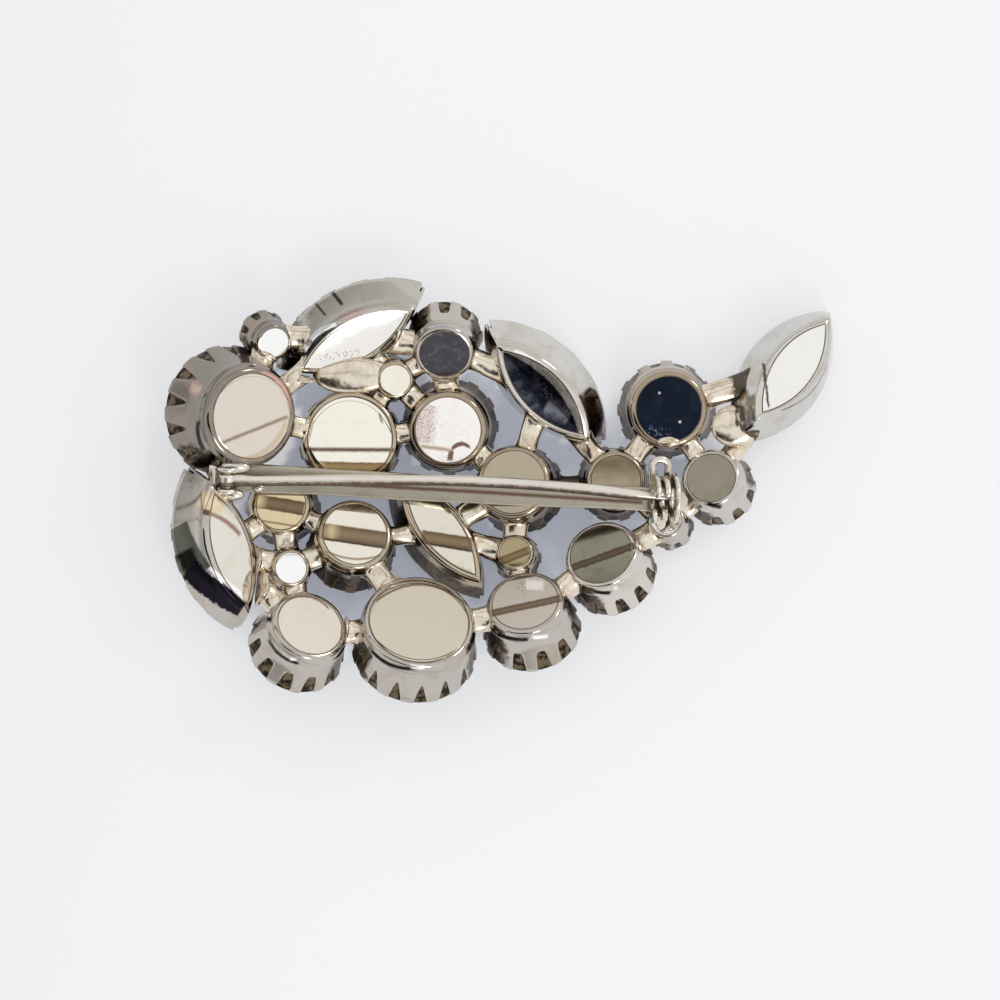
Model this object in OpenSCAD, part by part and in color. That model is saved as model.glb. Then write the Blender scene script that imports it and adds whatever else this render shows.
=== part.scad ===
// Rhinestone brooch lying on its stones, pin side up. Millimetres, +Z up.
// One soldered metal frame carries 24 stones, a pin stem on a rivet and a safety catch.

/* [Settings] */
// Thickness of the cup walls
wall_t = 0.3; // [0.3:0.05:0.6]
// Thickness of the closed cup backs
back_t = 0.5; // [0.3:0.05:0.8]
// Share of a round cup's depth that the slots between the prongs take
slot_share = 0.5; // [0.3:0.05:0.6]
// How far the prong tips reach in over the stone
lip = 0.5; // [0.3:0.05:0.7]
// Radius of the solder rods between cups
solder_r = 1.1; // [0.5:0.05:1.2]

/* [Stones] */
// Gap between a stone and the metal round it
stone_gap = 0.1; // [0.05:0.01:0.2]
// Height of a stone's table over the prong tips
table_proud = 0.25; // [0:0.05:0.6]
// Table width as a share of the stone's width
table_share = 0.55; // [0.45:0.01:0.7]

/* [Pin] */
// Length of the pin stem from the rivet to its point
stem_len = 41.2; // [36:0.1:44]
// Diameter of the pin stem
stem_d = 1.05; // [0.8:0.05:1.3]
// Diameter of the stem where the taper ends in the point
tip_d = 0.24; // [0.15:0.01:0.4]
// Width of the flat bar under the pin
bar_w = 2.5; // [2:0.1:3.5]
// Thickness of the flat bar
bar_t = 0.7; // [0.5:0.05:1]
// Turn of the pin, seen from above
pin_turn = -2.4; // [-5:0.1:0]
// Sideways lean of the pin and catch
pin_roll = 14; // [0:1:20]

/* [Hinge and catch] */
// Rivet diameter
rivet_d = 0.7; // [0.5:0.05:0.9]
// Running clearance between rivet and stem eye
run_gap = 0.05; // [0.03:0.01:0.1]
// Outer radius of the catch
catch_r = 2.6; // [2.2:0.1:3]
// Width of the catch along the pin
catch_w = 2.4; // [2:0.1:3]
// Lean of the catch along the pin
catch_lean = 10; // [0:1:15]

/* [Hidden] */
$fn = 72;
// The frame's origin lies under the middle of the whole, on the floor.
org = [0.4825, -0.738, -0.0757];
pivot = [-25.0, -0.17, 8.0];
eye_r = 0.92;
eye_w = 1.3;
ear_t = 0.5;
ear_in = 0.72;
bar_z = -2.45;
bar_turn = -0.7;
bar_from = -0.7;
bar_to = 41.8;
// Heights over the prong tips' ends: top of the lip at its edge and at the wall, a navette's lip,
// a stone's girdle, and how high and how much narrower the girdle's upper edge is
lip_in = 0.2;
lip_out = 0.42;
nav_lip = 0.26;
girdle_z = 0.5;
girdle_h = 0.42;
girdle_in = 0.18;
pad_r = 1.1;
fold_x = [-1.85, -1.05];
fold_h = 1.3;
catch_x = 40.8;
rotor_r = 2.12;
bore_r = 1.0;
rotor_w = 1.0;
tab_out = 3.4;
// Depth of the solder rods' axis under the backs, and how deep a rod's end sits in a cup's wall
rod_depth = 1.5;
rod_seat = 0.2;
eps = 0.01;

// Round cup sizes: flat back radius, bevel radius, prong ring radius, depth, prongs,
// half width of a slot at its closed end, at the prong tips
XL = [4.1, 4.6, 6.3, 6.2, 14, 0.12, 1.05];
LG = [4.8, 5.2, 5.9, 5.3, 15, 0.12, 0.95];
MD = [4.1, 4.5, 4.95, 5.0, 13, 0.40, 0.75];
M10 = [3.2, 3.65, 4.7, 5.0, 12, 0.42, 0.88];
M9 = [3.1, 3.5, 4.3, 4.8, 12, 0.38, 0.80];
M7 = [2.4, 2.8, 3.65, 4.4, 10, 0.40, 0.82];
SM = [1.5, 1.8, 2.3, 3.7, 8, 0.28, 0.58];
// Navette cup sizes: circle offset, circle radius at the flat back, bevel and rim, depth
NV = [6.82, 8.82, 9.42, 10.72, 4.2];
NS = [7.33, 9.20, 9.73, 10.43, 4.2];

// Settings: name, sizes, x, y, z of the back's middle, lean, way it leans, long axis
SETS = [
  ["round_stone_1", XL, -22.66, 5.64, 9.74, 30.6, 158.9, 0],
  ["round_stone_2", LG, -7.10, -13.38, 8.38, 31.1, -102.0, 0],
  ["round_stone_3", MD, -13.67, 4.01, 5.33, 4.0, 105.9, 0],
  ["round_stone_4", M10, -4.45, 4.80, 5.84, 11.5, 84.5, 0],
  ["round_stone_5", M10, 16.31, 6.83, 5.47, 6.1, 100.3, 0],
  ["round_stone_6", M10, 2.76, -11.54, 7.55, 33.0, -73.8, 0],
  ["round_stone_7", M10, -17.26, -13.71, 7.74, 32.4, -127.1, 0],
  ["round_stone_8", M9, 1.65, -0.07, 5.48, 10.1, -25.5, 0],
  ["round_stone_9", M9, 9.87, -6.97, 6.64, 27.2, -52.7, 0],
  ["round_stone_10", M9, -13.15, -5.04, 6.12, 16.5, -114.8, 0],
  ["round_stone_11", M7, -4.80, 11.91, 6.58, 33.0, 90.0, 0],
  ["round_stone_12", M7, 11.32, 0.16, 5.07, 2.7, 157.2, 0],
  ["round_stone_13", M7, 20.23, 0.30, 5.52, 15.6, -36.4, 0],
  ["round_stone_14", M7, -20.15, -2.16, 4.74, 2.3, 90.0, 0],
  ["round_stone_15", SM, -20.77, 12.86, 7.15, 33.6, 134.1, 0],
  ["round_stone_16", SM, -9.44, 9.55, 5.70, 12.0, 119.7, 0],
  ["round_stone_17", SM, 16.01, -3.60, 4.96, 10.7, -33.8, 0],
  ["round_stone_18", SM, 1.84, -6.67, 4.53, 6.2, -44.7, 0],
  ["round_stone_19", SM, -19.11, -8.26, 6.38, 8.0, 157.8, 0],
  ["navette_stone_1", NV, -13.19, 13.14, 6.51, 33.4, 109.2, 31],
  ["navette_stone_2", NV, 4.46, 8.25, 6.25, 23.4, 80.2, -49.5],
  ["navette_stone_3", NV, 28.06, 10.66, 5.93, 15.6, -157.4, 53],
  ["navette_stone_4", NV, -24.69, -6.54, 7.13, 33.4, 170.8, -65],
  ["navette_stone_5", NS, -5.11, -4.43, 4.71, 9.7, -143.3, -53]
];
// Rows of SETS that solder joins; a third number is the depth of a rod that runs lower
BRIDGES = [
  [14, 19], [14, 0], [19, 0], [19, 15], [19, 10], [10, 15, 1.8], [10, 3], [10, 20], [15, 2],
  [3, 2], [3, 7], [20, 7], [20, 11], [7, 11], [11, 4], [4, 21], [4, 12], [12, 16],
  [16, 8], [8, 5], [5, 1], [1, 6], [6, 22], [18, 6], [18, 9], [9, 1], [9, 23],
  [9, 13], [13, 22], [0, 2], [13, 2], [17, 23], [17, 5], [17, 7], [7, 23], [22, 0, 3.4],
  [12, 21], [18, 22], [11, 16], [3, 15], [18, 13]
];
// Rows of SETS that the bar is soldered to
PADS = [13, 2, 23, 7, 11];

function is_nav(s) = s[1][0] > 6;
// Unit vector from a cup's back towards its stone
function facing(s) = [sin(s[5]) * cos(s[6]), sin(s[5]) * sin(s[6]), -cos(s[5])];
function spin_of(s) = atan2(sin(s[7] - s[6]), cos(s[5]) * cos(s[7] - s[6]));
function centre(s, w) = [s[2], s[3], s[4]] + facing(s) * w;
// Directions in a cup's own frame
function cup_x(s) =
  let (f = facing(s), a = spin_of(s))
  let (e1 = [cos(s[5]) * cos(s[6]), cos(s[5]) * sin(s[6]), sin(s[5])], e2 = [-sin(s[6]), cos(s[6]), 0])
  e1 * cos(a) + e2 * sin(a);
function cup_y(s) =
  let (a = spin_of(s))
  let (e1 = [cos(s[5]) * cos(s[6]), cos(s[5]) * sin(s[6]), sin(s[5])], e2 = [-sin(s[6]), cos(s[6]), 0])
  e2 * cos(a) - e1 * sin(a);
// Distance from the cup's axis to its wall along u, at depth w under the back
function wall_r(s, w) =
  is_nav(s) ? s[1][2] + (s[1][3] - s[1][2]) * w / s[1][4] : s[1][1] + (s[1][2] - s[1][1]) * w / s[1][3];
function reach(s, u, w) =
  let (a = u * cup_x(s), b = u * cup_y(s), n = norm([a, b]), r = wall_r(s, w), o = s[1][0])
  is_nav(s) ? (sqrt(r * r - o * o * (1 - b * b / n / n)) - o * abs(b) / n) / n : r / n;

module at_cup(s) {
  translate([s[2], s[3], s[4]] - org) rotate([0, -s[5], s[6]]) rotate([0, 0, spin_of(s)]) children();
}

// Prong tips of a small cup reach in less
function lip_of(c) = min(lip, 0.13 * c[2]);

module round_cup(c) {
  d = c[3];
  rp = c[2];
  in = rp - wall_t - lip_of(c);
  difference() {
    rotate_extrude() polygon([
      [0, 0], [c[0], 0], [c[1], -0.4], [rp - 0.12, 0.8 - d], [rp, 0.45 - d], [rp - 0.12, -d],
      [in, -d], [in, lip_in - d], [rp - wall_t, lip_out - d],
      [c[1] - wall_t, -back_t - 0.4], [c[0] - wall_t, -back_t], [0, -back_t]
    ]);
    for (i = [0 : c[4] - 1])
      rotate([0, 0, (i + 0.5) * 360 / c[4]]) translate([rp * 0.55, 0, 0]) rotate([90, 0, 90])
        linear_extrude(rp) polygon([
          [-c[5], -d * (1 - slot_share)], [c[5], -d * (1 - slot_share)], [c[6], -d - 1], [-c[6], -d - 1]
        ]);
  }
}

// A pointed oval whose wall flares: two cones side by side, cut with each other
module lens(o, r1, r2, z1, z2) {
  intersection() {
    translate([0, -o, z2]) cylinder(r1 = r2, r2 = r1, h = z1 - z2);
    translate([0, o, z2]) cylinder(r1 = r2, r2 = r1, h = z1 - z2);
  }
}

module navette_cup(c) {
  d = c[4];
  o = c[0];
  difference() {
    union() {
      lens(o, c[1], c[2], 0, -0.4);
      lens(o, c[2], c[3], -0.4, -d);
    }
    lens(o, c[2] - wall_t, c[3] - wall_t - 0.1, -back_t, nav_lip - d);
    lens(o, c[3] - wall_t - lip, c[3] - wall_t - lip, nav_lip + 0.05 - d, -d - 1);
    for (x = [-0.56, -0.2, 0.2, 0.56])
      translate([x * 8 - 0.9, -6, -d - 1]) cube([1.8, 12, 1.7]);
  }
}

module round_gem(c) {
  d = c[3];
  r = c[2] - wall_t - stone_gap;
  t = table_share * r;
  hull() {
    translate([0, 0, -d - table_proud]) linear_extrude(eps) circle(r = t, $fn = 8);
    rotate([0, 0, 22.5]) translate([0, 0, -d + 0.05]) linear_extrude(eps) circle(r = (t + r * 1.02) / 2, $fn = 8);
    translate([0, 0, girdle_z - d]) cylinder(r1 = r, r2 = r - girdle_in, h = girdle_h, $fn = 16);
    translate([0, 0, girdle_z - d + r * 0.42]) linear_extrude(eps) circle(r = r * 0.62, $fn = 8);
    translate([0, 0, -back_t - 0.45]) linear_extrude(eps) circle(r = r * 0.12, $fn = 8);
  }
}

function lens_pts(o, r, k) =
  let (a = acos(o / r))
  [for (i = [0 : k - 1]) let (t = 90 - a + 2 * a * i / k) [r * cos(t), r * sin(t) - o],
   for (i = [0 : k - 1]) let (t = 90 - a + 2 * a * i / k) [-r * cos(t), o - r * sin(t)]];

module navette_gem(c) {
  d = c[4];
  r = c[3] - wall_t - stone_gap - 0.16;
  b = r - c[0];
  hull() {
    translate([0, 0, -d - table_proud]) linear_extrude(eps) scale(table_share) polygon(lens_pts(c[0], r, 4));
    translate([0, 0, girdle_z - d]) linear_extrude(eps) polygon(lens_pts(c[0], r, 8));
    translate([0, 0, girdle_z + girdle_h - d]) linear_extrude(eps) polygon(lens_pts(c[0], r - girdle_in, 8));
    translate([0, 0, girdle_z - d + b * 0.5]) linear_extrude(eps) scale(0.62) polygon(lens_pts(c[0], r, 4));
    translate([0, 0, -back_t - 0.5]) linear_extrude(eps) scale([0.34, 0.1]) polygon(lens_pts(c[0], r, 4));
  }
}

module stone(i) {
  s = SETS[i];
  color(is_nav(s) ? [0.55, 0.5, 0.52] : [0.62, 0.58, 0.6])
    at_cup(s) if (is_nav(s)) navette_gem(s[1]); else round_gem(s[1]);
}

// The space inside a cup, larger all round by part of the wall
module room(s) {
  c = s[1];
  g = wall_t - rod_seat;
  if (is_nav(s)) lens(c[0], c[2] - g, c[3] - g, -g, -c[4]);
  else translate([0, 0, -c[3]]) cylinder(r1 = c[2] - g, r2 = c[1] - g, h = c[3] - g);
}

// A rod of solder from wall to wall, just under the backs
module bridge(a, b, w) {
  p = centre(a, w);
  q = centre(b, w);
  l = norm(q - p);
  u = (q - p) / l;
  s0 = reach(a, u, w) - solder_r;
  s1 = l - reach(b, -u, w) + solder_r;
  difference() {
    translate(p + u * s0 - org) rotate([0, acos(u[2]), atan2(u[1], u[0])])
      cylinder(r = solder_r, h = s1 - s0);
    at_cup(a) room(a);
    at_cup(b) room(b);
  }
}

module at_pin() {
  translate(pivot - org) rotate([pin_roll, 0, pin_turn]) children();
}

module at_catch() {
  at_pin() translate([catch_x, 0, 0]) rotate([0, catch_lean, 0]) children();
}

module bar() {
  rotate([0, 0, bar_turn]) {
    translate([bar_from, -bar_w / 2, bar_z]) cube([bar_to - bar_from, bar_w, bar_t]);
    translate([bar_from, 0, bar_z]) cylinder(r = bar_w / 2, h = bar_t);
    translate([bar_to, 0, bar_z]) cylinder(r = bar_w / 2, h = bar_t);
  }
}

// Solder between the bar and the cup backs under it
module pads() {
  for (i = PADS) {
    s = SETS[i];
    k = (s[2] - pivot[0]) / cos(pin_turn);
    drop = pivot[2] + bar_z * cos(pin_roll) - s[4] + 0.3;
    at_pin() rotate([0, 0, bar_turn]) translate([k, 0, bar_z - drop]) cylinder(r = pad_r, h = drop + bar_t / 2);
  }
}

// Two upright ears with the fold of the sheet behind them
module ears() {
  difference() {
    for (m = [0, 1]) mirror([0, m, 0]) translate([0, ear_in + ear_t, 0]) rotate([90, 0, 0])
      union() {
        cylinder(r = eye_r, h = ear_t);
        translate([-eye_r, bar_z + 0.2, 0]) cube([2 * eye_r, -bar_z - 0.2, ear_t]);
      }
    translate([0, 3, 0]) rotate([90, 0, 0]) cylinder(d = rivet_d + 0.06, h = 6);
  }
  translate([fold_x[0], -ear_in - ear_t, bar_z + 0.2]) cube([fold_x[1] - fold_x[0], 2 * (ear_in + ear_t), fold_h]);
}

// Ring plate from x0 to x1; the left one has a mouth for the pin
module jaw(x0, x1, mouth) {
  difference() {
    translate([x0, 0, 0]) rotate([0, 90, 0]) cylinder(r = catch_r, h = x1 - x0);
    translate([x0 - 1, 0, 0]) rotate([0, 90, 0]) cylinder(r = bore_r, h = x1 - x0 + 2);
    if (mouth) {
      translate([x0 - 1, -2.2, 0]) cube([x1 - x0 + 2, 2.6, 4]);
      translate([x0 - 1, -3, 1]) cube([x1 - x0 + 2, 2, 4]);
    }
  }
}

module catch_housing() {
  h = catch_w / 2;
  jaw(-h, -h + 0.55, true);
  jaw(h - 0.55, h, false);
  translate([-h, 0, 0]) rotate([0, 90, 0]) rotate([0, 0, -40]) rotate_extrude(angle = 100)
    translate([rotor_r + 0.08, 0]) square([catch_r - rotor_r - 0.08, catch_w]);
  difference() {
    translate([-h, 1.5, -1.75]) cube([catch_w, 2.7, 0.6]);
    translate([-0.55, 0, -3]) cube([1.1, 3.35, 3]);
  }
}

module metal_frame() {
  color([0.78, 0.75, 0.7]) {
    for (s = SETS) at_cup(s) if (is_nav(s)) navette_cup(s[1]); else round_cup(s[1]);
    for (b = BRIDGES) bridge(SETS[b[0]], SETS[b[1]], len(b) > 2 ? b[2] : rod_depth);
    pads();
    difference() {
      at_pin() bar();
      at_catch() translate([-rotor_w / 2 - 0.1, 0, 0]) rotate([0, 90, 0])
        cylinder(r = rotor_r + 0.1, h = rotor_w + 0.2);
    }
    at_pin() ears();
    at_catch() catch_housing();
  }
}

module hinge_rivet() {
  l = 2 * (ear_in + ear_t) - 0.06;
  color([0.72, 0.7, 0.66]) at_pin() rotate([90, 0, 0]) translate([0, 0, -l / 2]) cylinder(d = rivet_d, h = l);
}

module pin_stem() {
  color([0.8, 0.78, 0.74]) at_pin() difference() {
    union() {
      rotate([90, 0, 0]) translate([0, 0, -eye_w / 2]) cylinder(r = eye_r - 0.12, h = eye_w);
      rotate([0, 90, 0]) cylinder(d = stem_d, h = stem_len * 0.62);
      translate([stem_len * 0.62 - eps, 0, 0]) rotate([0, 90, 0])
        cylinder(d1 = stem_d, d2 = tip_d, h = stem_len * 0.38);
    }
    rotate([90, 0, 0]) translate([0, 0, -2]) cylinder(d = rivet_d + 2 * run_gap, h = 4);
  }
}

module catch_roller() {
  color([0.8, 0.78, 0.74]) at_catch() difference() {
    union() {
      translate([-rotor_w / 2, 0, 0]) rotate([0, 90, 0]) cylinder(r = rotor_r, h = rotor_w);
      rotate([25, 0, 0]) translate([-rotor_w / 2, -tab_out, -0.3]) cube([rotor_w, 2, 0.6]);
    }
    translate([-1, 0, 0]) rotate([0, 90, 0]) cylinder(r = bore_r, h = 2);
    translate([-1, -1.9, 0]) cube([2, 2.3, 4]);
  }
}

metal_frame();
hinge_rivet();
pin_stem();
catch_roller();
stone(0);  // round_stone_1
stone(1);  // round_stone_2
stone(2);  // round_stone_3
stone(3);  // round_stone_4
stone(4);  // round_stone_5
stone(5);  // round_stone_6
stone(6);  // round_stone_7
stone(7);  // round_stone_8
stone(8);  // round_stone_9
stone(9);  // round_stone_10
stone(10);  // round_stone_11
stone(11);  // round_stone_12
stone(12);  // round_stone_13
stone(13);  // round_stone_14
stone(14);  // round_stone_15
stone(15);  // round_stone_16
stone(16);  // round_stone_17
stone(17);  // round_stone_18
stone(18);  // round_stone_19
stone(19);  // navette_stone_1
stone(20);  // navette_stone_2
stone(21);  // navette_stone_3
stone(22);  // navette_stone_4
stone(23);  // navette_stone_5
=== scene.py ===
"""Rhinestone brooch lying on its stones, pin side up, in a soft white studio."""
import logging
import math
from dataclasses import dataclass, field
from enum import Enum
from functools import partial
from typing import Any, Iterable, Optional, Sequence

import bpy
import numpy as np
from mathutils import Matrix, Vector


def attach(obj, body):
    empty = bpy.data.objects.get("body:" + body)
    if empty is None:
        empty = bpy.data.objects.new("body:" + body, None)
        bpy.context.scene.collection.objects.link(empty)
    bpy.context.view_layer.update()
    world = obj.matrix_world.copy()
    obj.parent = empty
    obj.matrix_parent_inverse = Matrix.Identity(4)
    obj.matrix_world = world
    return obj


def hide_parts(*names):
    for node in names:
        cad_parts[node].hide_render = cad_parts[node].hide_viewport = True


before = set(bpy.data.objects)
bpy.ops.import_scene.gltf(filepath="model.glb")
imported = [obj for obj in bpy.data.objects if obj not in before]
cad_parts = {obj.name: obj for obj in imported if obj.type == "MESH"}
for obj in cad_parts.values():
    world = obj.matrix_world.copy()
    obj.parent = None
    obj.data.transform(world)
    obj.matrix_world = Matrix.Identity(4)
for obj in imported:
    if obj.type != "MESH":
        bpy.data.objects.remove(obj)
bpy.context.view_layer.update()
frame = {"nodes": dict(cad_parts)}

LOG = logging.getLogger("brooch")
MM = 0.001
Array = np.ndarray
Colour = tuple[float, float, float]
# Places are in millimetres from the point of the floor that the photograph was fitted to. ORIGIN is where the
# part's own origin lies there, and PIVOT is the middle of the rivet.
ORIGIN = np.array([0.4825, -0.738, -0.0757])
PIVOT = np.array([-25.0, -0.17, 8.0])
ELEVATION = math.radians(84.0)
X, Y, Z = np.eye(3)
RIGHT = X
UPWARD = np.array([0.0, math.sin(ELEVATION), math.cos(ELEVATION)])
BEVEL_ANGLE = math.radians(50)


# Meshes


def unit(v: Array) -> Array:
    """The vector or rows of vectors at length one."""
    return v / np.maximum(np.linalg.norm(v, axis=-1, keepdims=True), 1e-12)


def ramp(x: Any, start: float, span: Any) -> Any:
    """0 up to start, 1 from start + span on, straight between."""
    return np.clip((x - start) / span, 0, 1)


def turned(axis: str, degrees: float) -> Array:
    """Matrix that turns points about the x, y or z axis by the right-hand rule."""
    c, s = math.cos(math.radians(degrees)), math.sin(math.radians(degrees))
    rows = {
        "x": [[1, 0, 0], [0, c, -s], [0, s, c]],
        "y": [[c, 0, s], [0, 1, 0], [-s, 0, c]],
        "z": [[c, -s, 0], [s, c, 0], [0, 0, 1]],
    }
    return np.array(rows[axis], float)


def round_angles(count: int) -> Array:
    """Angles evenly spaced once round, in radians from 0."""
    return np.linspace(0, 2 * math.pi, count, endpoint=False)


def in_scene(name: str, data: Any) -> bpy.types.Object:
    """Makes an object of a mesh, camera or light and puts it into the scene."""
    obj = bpy.data.objects.new(name, data)
    bpy.context.scene.collection.objects.link(obj)
    return obj


def store_shade_and_dirt(mesh: bpy.types.Mesh, dirt_and_shade: Array) -> None:
    """Gives the mesh its grime attribute of painted shade and dirt, one number from 0 to 1 for each point."""
    mesh.attributes.new("shade_and_dirt", "FLOAT", "POINT").data.foreach_set("value", dirt_and_shade.astype(np.float32))


@dataclass
class Skin:
    """A surface in millimetres: points, faces of four or three corners, and each face's finish number."""

    points: Array
    quads: Array
    tris: Array
    quad_finish: Array
    tri_finish: Array

    @staticmethod
    def of_grid(
        rows: Array,
        first_pole: Optional[Array] = None,
        last_pole: Optional[Array] = None,
        keep: Optional[Array] = None,
        finish: Optional[Array] = None,
    ) -> "Skin":
        """Joins a grid of points, rows by columns, into faces all round; a pole closes an end with a fan.

        Args:
            rows: Points of shape (rows, columns, 3).
            first_pole: Point that closes the first row, if any.
            last_pole: Point that closes the last row, if any.
            keep: Which of the (rows - 1, columns) faces exist, if not all.
            finish: Finish number of each of those faces, if not 0.

        Returns:
            The surface, with faces seen from outside when columns run anticlockwise and rows run away.
        """
        n, m = rows.shape[:2]
        cols = np.arange(m)
        r, c = np.meshgrid(np.arange(n - 1), cols, indexing="ij")
        nxt = (c + 1) % m
        quads = np.stack([r * m + c, (r + 1) * m + c, (r + 1) * m + nxt, r * m + nxt], -1)
        marks = np.zeros(r.shape, int) if finish is None else finish
        chosen = np.ones(r.shape, bool) if keep is None else keep
        points = [rows.reshape(-1, 3)]
        tris, tri_marks = [], []
        top = n * m
        for pole, row, flip in ((first_pole, 0, False), (last_pole, n - 1, True)):
            if pole is None:
                continue
            points.append(np.asarray(pole, float).reshape(1, 3))
            here, after = row * m + cols, row * m + (cols + 1) % m
            edge = (after, here) if flip else (here, after)
            tris.append(np.stack([np.full(m, top), *edge], -1))
            tri_marks.append(np.full(m, marks[min(row, n - 2), 0]))
            top += 1
        return Skin(
            np.concatenate(points),
            quads[chosen],
            np.concatenate(tris) if tris else np.zeros((0, 3), int),
            marks[chosen],
            np.concatenate(tri_marks) if tris else np.zeros(0, int),
        )

    @staticmethod
    def closed(rows: Array) -> "Skin":
        """A grid of points joined all round, with a fan from the middle of each end row."""
        return Skin.of_grid(rows, rows[0].mean(0), rows[-1].mean(0))

    @staticmethod
    def joined(skins: Sequence["Skin"]) -> "Skin":
        """All the surfaces as one."""
        starts = np.cumsum([0] + [len(s.points) for s in skins[:-1]])
        return Skin(
            np.concatenate([s.points for s in skins]),
            np.concatenate([s.quads + o for s, o in zip(skins, starts)]),
            np.concatenate([s.tris + o for s, o in zip(skins, starts)]),
            np.concatenate([s.quad_finish for s in skins]),
            np.concatenate([s.tri_finish for s in skins]),
        )

    def moved(self, matrix: Array, shift: Array) -> "Skin":
        """The surface with each point turned by the matrix and then shifted."""
        return Skin(self.points @ matrix.T + shift, self.quads, self.tris, self.quad_finish, self.tri_finish)

    def piece(
        self,
        name: str,
        finishes: Sequence[bpy.types.Material],
        body: str = "frame",
        slot: str = "plated_metal",
        stands_for: str = "metal_frame",
        wall: float = 0.0,
        edge: float = 0.0,
        smooth_below: float = 38.0,
        shade_and_dirt: Optional[Any] = None,
    ) -> bpy.types.Object:
        """Makes the surface a finished object that rides on a body.

        Args:
            name: Name of the object.
            finishes: Materials, by finish number.
            body: Body that it rides on.
            slot: Not used.
            stands_for: CAD node that it replaces.
            wall: Thickness given inwards to a sheet, in millimetres.
            edge: Width of the rounding of sharp edges, in millimetres.
            smooth_below: Angle in degrees up to which neighbouring faces are shaded as one.
            shade_and_dirt: Function from points in millimetres to how much painted shade and dirt lies there, from
                0 to 1.

        Returns:
            The object, with its modifiers worked into its mesh.
        """
        mesh = bpy.data.meshes.new(name)
        faces = self.quads.tolist() + self.tris.tolist()
        mesh.from_pydata(((self.points - ORIGIN) * MM).tolist(), [], faces)
        marks = np.concatenate([self.quad_finish, self.tri_finish]).astype(np.int32)
        mesh.polygons.foreach_set("material_index", marks)
        for finish in finishes:
            mesh.materials.append(finish)
        obj = in_scene(name, mesh)
        if wall:
            mod = obj.modifiers.new("wall", "SOLIDIFY")
            mod.thickness, mod.offset, mod.use_even_offset = wall * MM, -1.0, True
            mod.material_offset = len(finishes) - 1
        if edge:
            mod = obj.modifiers.new("edge", "BEVEL")
            mod.width, mod.segments, mod.limit_method = edge * MM, 2, "ANGLE"
            mod.angle_limit = BEVEL_ANGLE
        if wall or edge:
            done = bpy.data.meshes.new_from_object(obj.evaluated_get(bpy.context.evaluated_depsgraph_get()))
            obj.modifiers.clear()
            obj.data = done
            bpy.data.meshes.remove(mesh)
            done.name = name
        # Painted shade and dirt, worked out for each point and stored for the materials
        if shade_and_dirt is not None:
            flat = np.empty(3 * len(obj.data.vertices))
            obj.data.vertices.foreach_get("co", flat)
            dirt_and_shade = shade_and_dirt(flat.reshape(-1, 3) / MM + ORIGIN)
            store_shade_and_dirt(obj.data, dirt_and_shade)
        obj.data.shade_smooth()
        obj.data.set_sharp_from_angle(angle=math.radians(smooth_below))
        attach(obj, body)
        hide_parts(stands_for)
        LOG.info("%s: %d faces on %s", name, len(obj.data.polygons), body)
        return obj


def carried(path: Array, across: Array, up: Array, section: Array, scale: Optional[Array] = None) -> Skin:
    """Carries a closed profile along a path: point = path + across * section x * scale + up * section y * scale.

    Args:
        path: Points of the path, (n, 3).
        across: Direction of the profile's x at each point, (n, 3) or (3,).
        up: Direction of the profile's y at each point, (n, 3) or (3,).
        section: The profile's points, (m, 2), anticlockwise seen from the path's end.
        scale: Size of the profile at each point, (n,) or (n, 2), if not 1.

    Returns:
        The closed surface, with a fan at each end.
    """
    n = len(path)
    across = np.broadcast_to(across, (n, 3))
    up = np.broadcast_to(up, (n, 3))
    size = np.ones((n, 2)) if scale is None else np.broadcast_to(np.reshape(scale, (n, -1)), (n, 2))
    x = section[None, :, 0:1] * size[:, None, 0:1]
    y = section[None, :, 1:2] * size[:, None, 1:2]
    return Skin.closed(path[:, None] + across[:, None] * x + up[:, None] * y)


def oval(half_x: float, half_y: float, power: float, count: int = 24) -> Array:
    """Points of a superellipse: |x / a| ^ p + |y / b| ^ p = 1, anticlockwise."""
    t = round_angles(count)
    c, s = np.cos(t), np.sin(t)
    x = half_x * np.sign(c) * np.abs(c) ** (2 / power)
    y = half_y * np.sign(s) * np.abs(s) ** (2 / power)
    return np.stack([x, y], -1)


def spun(profile: Array, count: int = 48, closed: bool = False) -> Skin:
    """Turns a profile of (radius, height) once round z: point = (r cos t, r sin t, h).

    Args:
        profile: Points (n, 2); a first or last radius of 0 becomes a pole.
        count: Points round.
        closed: Whether the profile's last point meets its first, as for a ring.

    Returns:
        The surface, outwards when the profile runs from the top down on the outside.
    """
    t = round_angles(count)
    p = np.asarray(profile, float)
    poles = [None, None]
    if closed:
        p = np.concatenate([p, p[:1]])
    else:
        if p[0, 0] == 0:
            poles[0], p = np.array([0, 0, p[0, 1]]), p[1:]
        if p[-1, 0] == 0:
            poles[1], p = np.array([0, 0, p[-1, 1]]), p[:-1]
    z = np.broadcast_to(p[:, 1:], (len(p), count))
    return Skin.of_grid(np.stack([p[:, :1] * np.cos(t), p[:, :1] * np.sin(t), z], -1), *poles)


# Shader maths


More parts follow.
